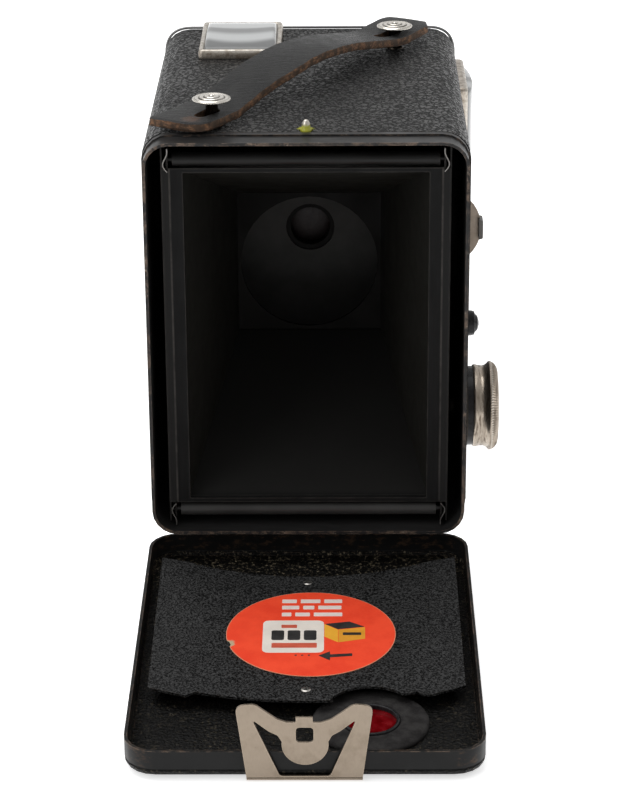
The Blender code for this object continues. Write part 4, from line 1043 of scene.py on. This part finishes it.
def make_finder_frames(look):
    """Pressed frames with rounded corners: a broad outer slope, a flat and a drop to the glass."""
    for name, axis in (("top_finder", "Z"), ("side_finder", "X")):
        start, stop, base, top = across_axis(*extent(f"{name}_frame"), axis)

        def loop(inset, depth, radius):
            a0, b0, a1, b1 = start.x + inset, start.y + inset, stop.x - inset, stop.y - inset
            outline = filleted([(*corner, radius) for corner in ((a0, b0), (a1, b0), (a1, b1), (a0, b1))], 8)
            return [placed(axis, *point, depth) for point in outline]

        rows = [
            (0.0, base, 1.1), (0.0, top - 0.9, 1.1), (0.12, top - 0.55, 1.0),
            (0.3, top - 0.16, 0.9), (0.5, top, 0.8), (FRAME_BORDER - 0.5, top, 0.7),
            (FRAME_BORDER - 0.28, top - 0.1, 0.6), (FRAME_BORDER - 0.12, top - 0.35, 0.6),
            (FRAME_BORDER, top - 0.9, 0.5), (FRAME_BORDER, base, 0.5),
        ]
        mesh = stacked([loop(*row) for row in rows], capped=False, ring=True)
        piece(f"{name}_pressed_frame", mesh, look, "body", (f"{name}_frame",), sharp=60.0)


def finder_glass_look(name, sideways, node):
    """A brilliant finder's glass: the view in the mirror under it is painted into its colour as light and
    grey bands with bowed ends, a painted reflection.
    """
    look = Look(name, (0.6, 0.61, 0.61), 0.12, Specular_IOR_Level=0.35)
    low, high = extent(node)
    middle, half = (low + high) / 2, (high - low) / 2
    share = look.times(look.maths("SUBTRACT", look.axis("Y"), low.y), 1.0 / (high.y - low.y))
    side = look.maths("SUBTRACT", look.axis("XYZ"[sideways]), middle[sideways])
    side = look.times(side, 1.0 / half[sideways])
    share = look.maths("SUBTRACT", share, look.times(look.times(side, side), 0.07))
    share = look.maths("ADD", share, look.times(look.noise(9.0, 2.0, shift=0.3), 0.015))
    # Painted reflection: the bands stand for what the mirror shows
    tone = look.ramp(share, 0.05, 0.17, FINDER_PAINTED_BANDS[0], FINDER_PAINTED_BANDS[1])
    tone = look.maths("SUBTRACT", tone, look.ramp(share, 0.24, 0.40, 0.0, FINDER_PAINTED_BANDS[2]))
    tone = look.maths("ADD", tone, look.ramp(share, 0.47, 0.55, 0.0, FINDER_PAINTED_BANDS[3]))
    tone = look.mix(tone, (0.0, 0.0, 0.0), (0.98, 1.0, 1.0))
    look.colour(look.mix(look.specks(3.0, 0.16, 0.3), tone, (0.09, 0.08, 0.07)))
    return look.material


def make_finder_glasses():
    """Shallow domes with a rectangular outline over the finder mirrors."""
    for name, axis, sideways, powers in (("top_finder", "Z", 0, (30, 2)), ("side_finder", "X", 2, (2, 30))):
        start, stop, base, top = across_axis(*extent(f"{name}_lens"), axis)
        rim = across_axis(*extent(f"{name}_frame"), axis)[3] - 0.75
        centre, half = (start + stop) / 2, (stop - start) / 2 + Vector((FINDER_GROW, FINDER_GROW))
        count = 36
        mesh = bmesh.new()
        rows = []
        for i in range(count + 1):
            row = []
            for j in range(count + 1):
                u, v = 2 * i / count - 1, 2 * j / count - 1
                dome = (top - rim) * (1 - abs(u) ** powers[0]) ** 0.6 * (1 - abs(v) ** powers[1]) ** 0.6
                spot = placed(axis, centre.x + u * half.x, centre.y + v * half.y, rim + dome)
                row.append(mesh.verts.new(spot))
            rows.append(row)
        for i in range(count):
            for j in range(count):
                mesh.faces.new((rows[i][j], rows[i + 1][j], rows[i + 1][j + 1], rows[i][j + 1]))
        border = [edge for edge in mesh.edges if edge.is_boundary]
        skirt = bmesh.ops.extrude_edge_only(mesh, edges=border)["geom"]
        for item in skirt:
            if isinstance(item, bmesh.types.BMVert):
                item.co["XYZ".index(axis)] = base
        foot = [item for item in skirt if isinstance(item, bmesh.types.BMEdge)]
        bmesh.ops.contextual_create(mesh, geom=foot)
        look = finder_glass_look(f"{name}_painted_view", sideways, f"{name}_lens")
        piece(f"{name}_dome", mesh, look, "body", (f"{name}_lens",), sharp=60.0)


def make_front_glasses(look, lens_look):
    """The finders' front lenses and the taking lens, as polished domes."""
    for name in ("top_finder_objective", "side_finder_objective", "taking_lens"):
        low, high = extent(name)
        radius = (high.x - low.x) / 2
        steps = 10
        swell = (high.y - low.y) * 0.45
        foot = high.y - swell
        profile = [(low.y + 0.05, radius * 0.2), (low.y + 0.05, radius - 0.3)]
        profile += [(low.y + 0.3, radius), (foot - 0.1, radius)]
        for step in range(steps + 1):
            turn = math.pi / 2 * step / steps
            profile.append((foot + swell * math.sin(turn), max((radius - 0.15) * math.cos(turn), 0.15)))
        dome = turned(profile, middle_of(name).xz, "Y", 64)
        # The taking lens gets an opaque painted colour in place of glass: a painted reflection
        finish = lens_look if name == "taking_lens" else look
        piece(f"{name}_dome", dome, finish, "body", (name,), sharp=50.0)


def make_lever(look, pad_look):
    """A half-disc lever with a folded thumb pad at its edge."""
    low, high = extent("release_lever")
    soften("release_lever", 0.1, look)
    middle = (low.z + high.z) / 2
    half = LEVER_PAD_HALF
    corners = [(high.x - 1.2, middle - half - 0.3, 0.2), (high.x, middle - half, 0.4)]
    corners += [(high.x, middle + half, 0.4), (high.x - 1.2, middle + half + 0.3, 0.2)]
    mesh = slab(filleted(corners, 4), low.y - 0.05, high.y + 0.05, "Y", 0.1)
    piece("lever_pad_edge", mesh, pad_look, "release_lever")


# Door pieces, drawn closed


def make_rivets(look):
    """Domed rivet heads on the pressure plate."""
    section = ((-1.5, 0.9), (0.06, 0.95), (0.08, 1.0), (0.2, 1.08), (0.36, 0.9), (0.42, 0.6))
    section += ((0.36, 0.4), (0.38, 0.15))
    profile = [(PLATE_FACE + proud, radius) for proud, radius in section]
    for word, distance in zip(("upper", "lower"), RIVETS_AT):
        mesh = turned(profile, (0.0, PIN_Z + distance), "Y", 40)
        name, slot = f"{word}_rivet_head", "matte_black"
        piece(name, mesh, look, "pressure_plate", (f"{word}_plate_rivet",), on_door=True, sharp=50.0)


def make_plate_spring(look):
    """The bowed leaf behind the pressure plate: its ends lie at the plate's back and its middle bows back to
    the pan.
    """
    upper, lower = [], []
    for step in range(SPRING_STEPS + 1):
        share = step / SPRING_STEPS
        y = PLATE_BACK - SPRING_BOW * math.sin(math.pi * share) ** 1.6
        z = PIN_Z + SPRING_LOW + SPRING_LENGTH * share
        upper.append((y, z))
        lower.append((y - SPRING_THICK, z))
    mesh = slab(upper + lower[::-1], -SPRING_HALF, SPRING_HALF, "X")
    leaf = piece("bowed_leaf_spring", mesh, look, None, ("plate_spring",))
    hole = [(PLATE_BACK - 3.0, RIVET_HOLE), (PLATE_BACK + 3.0, RIVET_HOLE)]
    for distance in RIVETS_AT:
        carve(leaf, turned(hole, (0.0, PIN_Z + distance), "Y", 24))
    leaf.data.transform(DOOR_PLACE)
    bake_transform(leaf)


def make_label(looks):
    """A round paper label with a torn nick, a panel, a carton, an arrow, and bars in place of words."""
    face = PLATE_FACE + LABEL_THICK
    outline = []
    steps = 180
    for step in range(steps):
        angle = 2 * math.pi * step / steps
        away = math.degrees(angle) - NICK_ANGLE
        torn = 0.8 * math.exp(-((away / 2.6) ** 2)) * (1.0 + 0.4 * math.sin(step * 2.1))
        reach = LABEL_RADIUS - torn
        outline.append((LABEL_AT[0] + reach * math.cos(angle), LABEL_AT[1] + reach * math.sin(angle)))
    disc, stands_for = slab(outline, PLATE_FACE + 0.04, face, "Y", 0.03), ("label_disc",)
    piece("printed_label", disc, looks["label"], "pressure_plate", stands_for, on_door=True)

    def printed(name, corners, look, level=1, radius=0.25):
        spots = [(LABEL_AT[0] + x, LABEL_AT[1] - y, radius) for x, y in corners]
        mesh = slab(filleted(spots, 4), face + 0.004, face + 0.012 + 0.012 * level, "Y")
        piece(name, mesh, looks[look], "pressure_plate", on_door=True)

    def bar(name, x0, x1, y0, y1, look, level=1, radius=0.25):
        printed(name, [(x0, y0), (x1, y0), (x1, y1), (x0, y1)], look, level, radius)

    for row, (y, left, lengths) in enumerate(LABEL_LINES):
        for column, length in enumerate(lengths):
            bar(f"label_line_{row}_{column}", left, left + length, y, y + LINE_HEIGHT, "white")
            left += length + LINE_GAP
    bar("label_panel", -11.0, 3.0, -8.9, 5.9, "cream", 1, 1.6)
    bar("label_panel_bar_top", -6.8, -3.2, 2.4, 3.9, "ink_red", 2)
    for column in range(3):
        left = -9.0 + column * 3.7
        bar(f"label_block_{column}", left, left + 2.9, -3.2, 1.3, "ink_black", 2, 0.6)
    bar("label_panel_bar_low", -8.9, 1.4, -6.7, -4.5, "ink_red", 2)
    front = [(3.1, -1.6), (6.2, -4.2), (6.2, 1.6), (3.1, 4.2)]
    side = [(6.3, -4.2), (12.4, -2.6), (12.4, 2.8), (6.3, 1.6)]
    lid = [(3.2, 4.3), (6.2, 1.8), (12.3, 3.0), (8.8, 5.4)]
    printed("label_carton_end", front, "ochre_light", 1, 0.1)
    printed("label_carton_side", side, "ochre", 1, 0.1)
    printed("label_carton_lid", lid, "ink_black", 1, 0.1)
    bar("label_carton_band", 7.3, 11.5, -0.9, 0.3, "ink_black", 2)
    arrow = [(1.8, -10.2), (4.4, -12.4), (4.4, -11.0), (9.4, -10.4), (9.4, -9.2), (4.4, -9.7), (4.4, -8.3)]
    printed("label_arrow", arrow, "ink_black", 1, 0.15)
    for dot in range(3):
        bar(f"label_dot_{dot}", -3.6 + dot * 1.5, -3.1 + dot * 1.5, -10.3, -9.8, "ink_black", 1, 0.2)


def make_window(looks):
    """A felt ring with a soft rolled edge round a red window whose opening has a glossy lip."""
    low, high = extent("window_felt_ring")
    outer = (high.x - low.x) / 2
    floor = PAN_BACK + PAN_SHEET
    ring = ((0.06, 7.6), (0.06, outer - 0.1), (0.5, outer), (0.95, outer - 0.25), (1.18, outer - 0.8))
    ring += ((1.22, 9.0), (1.2, 6.9), (1.0, 6.5), (0.5, 6.45))
    lip = ((0.4, 5.75), (0.4, 6.4), (1.2, 6.42), (1.42, 6.25), (1.5, 6.0), (1.42, 5.75), (1.2, 5.62))
    for name, section, look, slot, stands_for in (
        ("felt_light_seal", ring, "felt", "black_felt", ("window_felt_ring",)),
        ("window_lip", lip, "moulding", "black_moulding", ()),
    ):
        mesh = turned([(floor + proud, radius) for proud, radius in section], WINDOW_AT, "Y", 96, ring=True)
        piece(name, mesh, looks[look], "door", stands_for, on_door=True, sharp=60.0)


def latch_corners():
    """The latch's outline as (x, height, corner radius): foot, flared legs, lobed shoulders and tab."""
    right = [
        (0.0, LATCH_FOOT, 0.0), (LATCH_LEG, LATCH_FOOT, 0.0), (14.5, 9.9, 2.6), (10.3, 10.3, 2.2),
        (8.2, 8.6, 1.6), (5.7, 6.7, 1.6), (3.6, 5.9, 0.8), (LATCH_TAB, 5.9, 0.2),
        (LATCH_TAB, 7.15, 0.15),
    ]
    return right + [(-x, height, radius) for x, height, radius in right[:0:-1]]


def latch_slot():
    """The U-shaped slot that frees the round tongue and leaves a thin strip at the foot."""
    left = [(-10.9, 6.6, 0.3), (-7.6, 3.8, 1.6), (-5.6, 2.7, 1.2)]
    tongue = [(x, height, 0.0) for x, height in arc((0.15, 0.5), 4.95, 172, 368, 28)]
    right = [(5.8, 2.7, 1.2), (7.6, 3.8, 1.6), (10.9, 6.6, 0.3)]
    return left + tongue + right + [(5.4, LATCH_FOOT + 0.45, 1.0), (-5.2, LATCH_FOOT + 0.45, 1.0)]


def make_latch(look):
    """A spring latch of sheet nickel, with a rounded-square hole, and the bend that carries its legs."""
    inner, outer = LATCH_INNER, LATCH_INNER + LATCH_THICK
    outline = [(x, PIN_Y + height) for x, height in filleted(latch_corners(), 8)]
    mesh = slab(outline, inner, outer, "Z")
    latch = piece("sprung_latch_plate", mesh, look, "door_latch", ("door_latch",))
    for opening in ([(*corner, 0.9) for corner in LATCH_HOLE], latch_slot()):
        opening = [(x, PIN_Y + height) for x, height in filleted(opening, 8)]
        carve(latch, slab(opening, inner - 2.0, inner + 3.0, "Z"))
    latch.data.transform(DOOR_PLACE)
    bevel(latch, LATCH_SHEET_ROUND, 3, 40.0)
    latch.data.shade_smooth()
    back = PAN_BACK - 0.1
    tip = inner - BEND_DEPTH
    centre = (back - LATCH_THICK + BEND_RADIUS, outer - BEND_RADIUS)
    outside = arc(centre, BEND_RADIUS, 90, 180, 8)
    inside = arc(centre, BEND_RADIUS - LATCH_THICK, 180, 90, 8)
    profile = [*outside, (back - LATCH_THICK, tip), (back, tip), *inside, (PIN_Y + LATCH_FOOT - 0.03, inner)]
    mesh = slab(profile, -LATCH_LEG, LATCH_LEG, "X", 0.08)
    piece("latch_bend", mesh, look, "door", ("latch_flange",), on_door=True)


def make_roller_clips(look, edge_look):
    """Small curled springs beside the rollers' ends."""
    low, high = extent("upper_roller")
    lowest = extent("lower_roller")[0].z
    for side, word in ((-1, "left"), (1, "right")):
        for z, flip, place in ((high.z, 1, "upper"), (lowest, -1, "lower")):
            line = []
            for step in range(21):
                share = step / 20
                bow = 0.8 * math.sin(math.pi * share) - 0.5 * math.sin(2 * math.pi * share)
                line.append((side * (high.x - 0.65 + bow * 0.9), z + flip * (1.6 - 5.6 * share)))
            mesh = ribbon(line, 0.24, low.y - 1.2, high.y - 0.4, "Y")
            made = piece(f"{place}_{word}_roller_clip", mesh, (look, edge_look), "body")
            for polygon in made.data.polygons:
                polygon.material_index = 1 if polygon.normal.y < -0.7 else 0


def make_front_trim(look):
    """A rolled bead round the front plate's edge."""
    low, high = extent("front_panel")
    inset, radius, reach, steps = -0.34, 6.9, 0.34, 8
    x0, z0, x1, z1 = low.x + inset, low.z + inset, high.x - inset, high.z - inset
    outline = filleted([(*corner, radius) for corner in ((x0, z0), (x1, z0), (x1, z1), (x0, z1))], 12)
    loops = []
    count = len(outline)
    for index, point in enumerate(outline):
        before, after = Vector(outline[index - 1]), Vector(outline[(index + 1) % count])
        along = (after - before).normalized()
        normal = Vector((-along.y, along.x))
        loop = []
        for step in range(steps):
            angle = 2 * math.pi * step / steps
            spot = Vector(point) + normal * reach * math.cos(angle)
            loop.append((spot.x, high.y - 0.5 + reach * math.sin(angle), spot.y))
        loops.append(loop)
    bead = stacked(loops, capped=False, ring=True)
    piece("front_edge_bead", bead, look, "body", sharp=60.0)


# Stage, light and camera


def make_stage():
    """A pale floor under the hanging door, and a block that carries the body at its own height."""
    lowest = cad_box[0][2] - 0.0002
    pale = Look("pale_floor", grey(0.93), 0.6)
    pale.shader.inputs["Emission Color"].default_value = (1.0, 1.0, 1.0, 1.0)
    pale.shader.inputs["Emission Strength"].default_value = FLOOR_GLOW
    corners = [(x * FLOOR_REACH, y * FLOOR_REACH, lowest) for x, y in ((-1, -1), (1, -1), (1, 1), (-1, 1))]
    floor = bpy.data.meshes.new("floor")
    floor.from_pydata(corners, [], [(0, 1, 2, 3)])
    outline = filleted([(*corner, 2.0) for corner in RISER], 6)
    riser = finished("riser", slab(outline, lowest / MM + 0.05, -0.05, "Z", 0.5))
    for data in (floor, riser):
        data.materials.append(pale.material)
        linked(data.name, data)


def add_area(name, at, aim, width, height, power):
    """A soft rectangular light that faces a point."""
    data = bpy.data.lights.new(name, "AREA")
    data.shape = "RECTANGLE"
    data.size = width
    data.size_y = height
    data.energy = power
    light = linked(name, data)
    light.location = at
    light.rotation_euler = (Vector(aim) - Vector(at)).to_track_quat("-Z", "Y").to_euler()


def make_light():
    """An even pale sky, a little darker in front, and two area lights."""
    world = bpy.data.worlds.new("studio")
    world.use_nodes = True
    tree = world.node_tree
    background = tree.nodes["Background"]
    background.inputs["Color"].default_value = (1.0, 1.0, 1.0, 1.0)
    direction = tree.nodes.new("ShaderNodeTexCoord").outputs["Generated"]
    split = tree.nodes.new("ShaderNodeSeparateXYZ")
    tree.links.new(direction, split.inputs[0])
    fade = tree.nodes.new("ShaderNodeMapRange")
    for socket, number in zip(fade.inputs[1:], (-1.0, 1.0, *WORLD_LIGHT)):
        socket.default_value = number
    tree.links.new(split.outputs["Y"], fade.inputs[0])
    tree.links.new(fade.outputs[0], background.inputs["Strength"])
    bpy.context.scene.world = world
    add_area("overhead", (-0.25, 0.1, 1.1), (0.0, 0.0, 0.05), 0.9, 0.9, 6.0)
    add_area("camera_left", (-0.9, -0.8, 0.8), (0.0, -0.05, 0.05), 0.6, 0.8, 3.0)
    bpy.context.scene.view_settings.view_transform = "Standard"


def make_camera():
    """A level view direction turned by yaw and pitch, then rolled."""
    data = bpy.data.cameras.new("camera")
    data.lens = CAMERA_LENS
    data.sensor_width = 36.0
    data.clip_start = 0.01
    data.clip_end = 50.0
    forward = Vector((
        math.sin(CAMERA_YAW) * math.cos(CAMERA_PITCH),
        math.cos(CAMERA_YAW) * math.cos(CAMERA_PITCH),
        -math.sin(CAMERA_PITCH),
    ))
    level = Vector((math.cos(CAMERA_YAW), -math.sin(CAMERA_YAW), 0.0))
    above = level.cross(forward)
    right = level * math.cos(CAMERA_ROLL) + above * math.sin(CAMERA_ROLL)
    up = above * math.cos(CAMERA_ROLL) - level * math.sin(CAMERA_ROLL)
    camera = linked("camera", data)
    camera.matrix_world = Matrix.Translation(CAMERA_AT) @ Matrix((right, up, -forward)).transposed().to_4x4()
    bpy.context.scene.camera = camera


def main():
    make_camera()
    looks = {
        "shell": shell_look(),
        "leatherette": leatherette_look(),
        "front": enamel_look("front_enamel_gloss", 0.012, 0.28, 1.6),
        "bright": nickel_look("bright_nickel", (0.74, 0.71, 0.66), 0.22, 0.25, pits=0.15),
        "nickel": nickel_look("dull_nickel", (0.50, 0.455, 0.395), 0.36, 0.5),
        "matte": matte_look("matte_sheet"),
        "carrier": carrier_look(),
        # The lens board and shutter plate are a grey far lighter than the black sheet: painted light deep
        # inside the camera
        "deep": matte_look("inner_plates_painted_light", 0.065, 0.75),
        "cell": matte_look("lens_cell_black", 0.016, 0.7),
        "dark_metal": nickel_look("oiled_steel", (0.05, 0.043, 0.036), 0.5, 0.5),
        # The two rollers are lit and shaded copies of one black: the lower one painted lighter, the upper
        # darker
        "upper_roller": matte_look("upper_roller_shaded_black", 0.007, 0.4, specular=0.2),
        "lower_roller": matte_look("lower_roller_lit_black", 0.03, 0.4, specular=0.3),
        "moulding": moulding_look(),
        "steel": nickel_look("spring_steel_strip", (0.33, 0.32, 0.31), 0.32, 0.4),
        "mirror": nickel_look("silvered_mirror", (0.82, 0.83, 0.84), 0.05, 0.1, pits=0.1),
        "enamel": enamel_look("hinge_enamel"),
        "pan": pan_look(),
        "celluloid": celluloid_look(),
        "plate": crinkle_look("pressure_plate_crinkle", 0.016, grain=0.4, gloss=0.42),
        "felt": felt_look(),
        "label": label_look(),
        "cream": paper_look("print_cream", (0.83, 0.76, 0.68), 0.05),
        "white": paper_look("print_white", (0.86, 0.74, 0.68), 0.05),
        "ink_red": paper_look("print_red", (0.62, 0.10, 0.05), 0.1),
        "ink_black": paper_look("print_black", (0.02, 0.018, 0.017), 0.2),
        "ochre": paper_look("print_ochre", (0.80, 0.34, 0.02), 0.08),
        "ochre_light": paper_look("print_ochre_light", (0.90, 0.44, 0.03), 0.06),
    }
    dress_cad_nodes(looks)
    make_knob(knob_look(), looks["dark_metal"])
    make_collar_ring(looks["dark_metal"])
    make_studs(stud_look(), latch_stud_look())
    make_strap(leather_looks())
    make_finder_frames(frame_nickel_look())
    make_finder_glasses()
    # The taking lens is an opaque dark red: a painted reflection of its coating seen in the dark inside
    make_front_glasses(glass_look(), paper_look("taking_lens_painted_reflection", (0.009, 0.003, 0.003), 0.1))
    lever_metal = nickel_look("lever_plate", (0.30, 0.25, 0.205), 0.42, 0.35)
    make_lever(lever_metal, nickel_look("lever_pad_dark", (0.10, 0.095, 0.09), 0.35, 0.5))
    make_rivets(nickel_look("rivet_nickel", (0.50, 0.48, 0.45), 0.3, 0.5))
    make_plate_spring(looks["steel"])
    make_label(looks)
    make_window(looks)
    # The latch's lightened edges are partly wear and partly a painted edge highlight
    worn_nickel_and_edge_highlight = {"brushed": (1.0, 1.0, 3.0), "pits": 0.12, "rubbed": 0.8}
    make_latch(nickel_look("latch_nickel", (0.285, 0.234, 0.183), 0.38, 0.3, **worn_nickel_and_edge_highlight))
    make_roller_clips(looks["matte"], nickel_look("clip_steel", (0.20, 0.19, 0.18), 0.35, 0.5))
    make_front_trim(nickel_look("front_bead_nickel", grey(0.24), 0.45, 0.3))
    make_stage()
    make_light()


main()
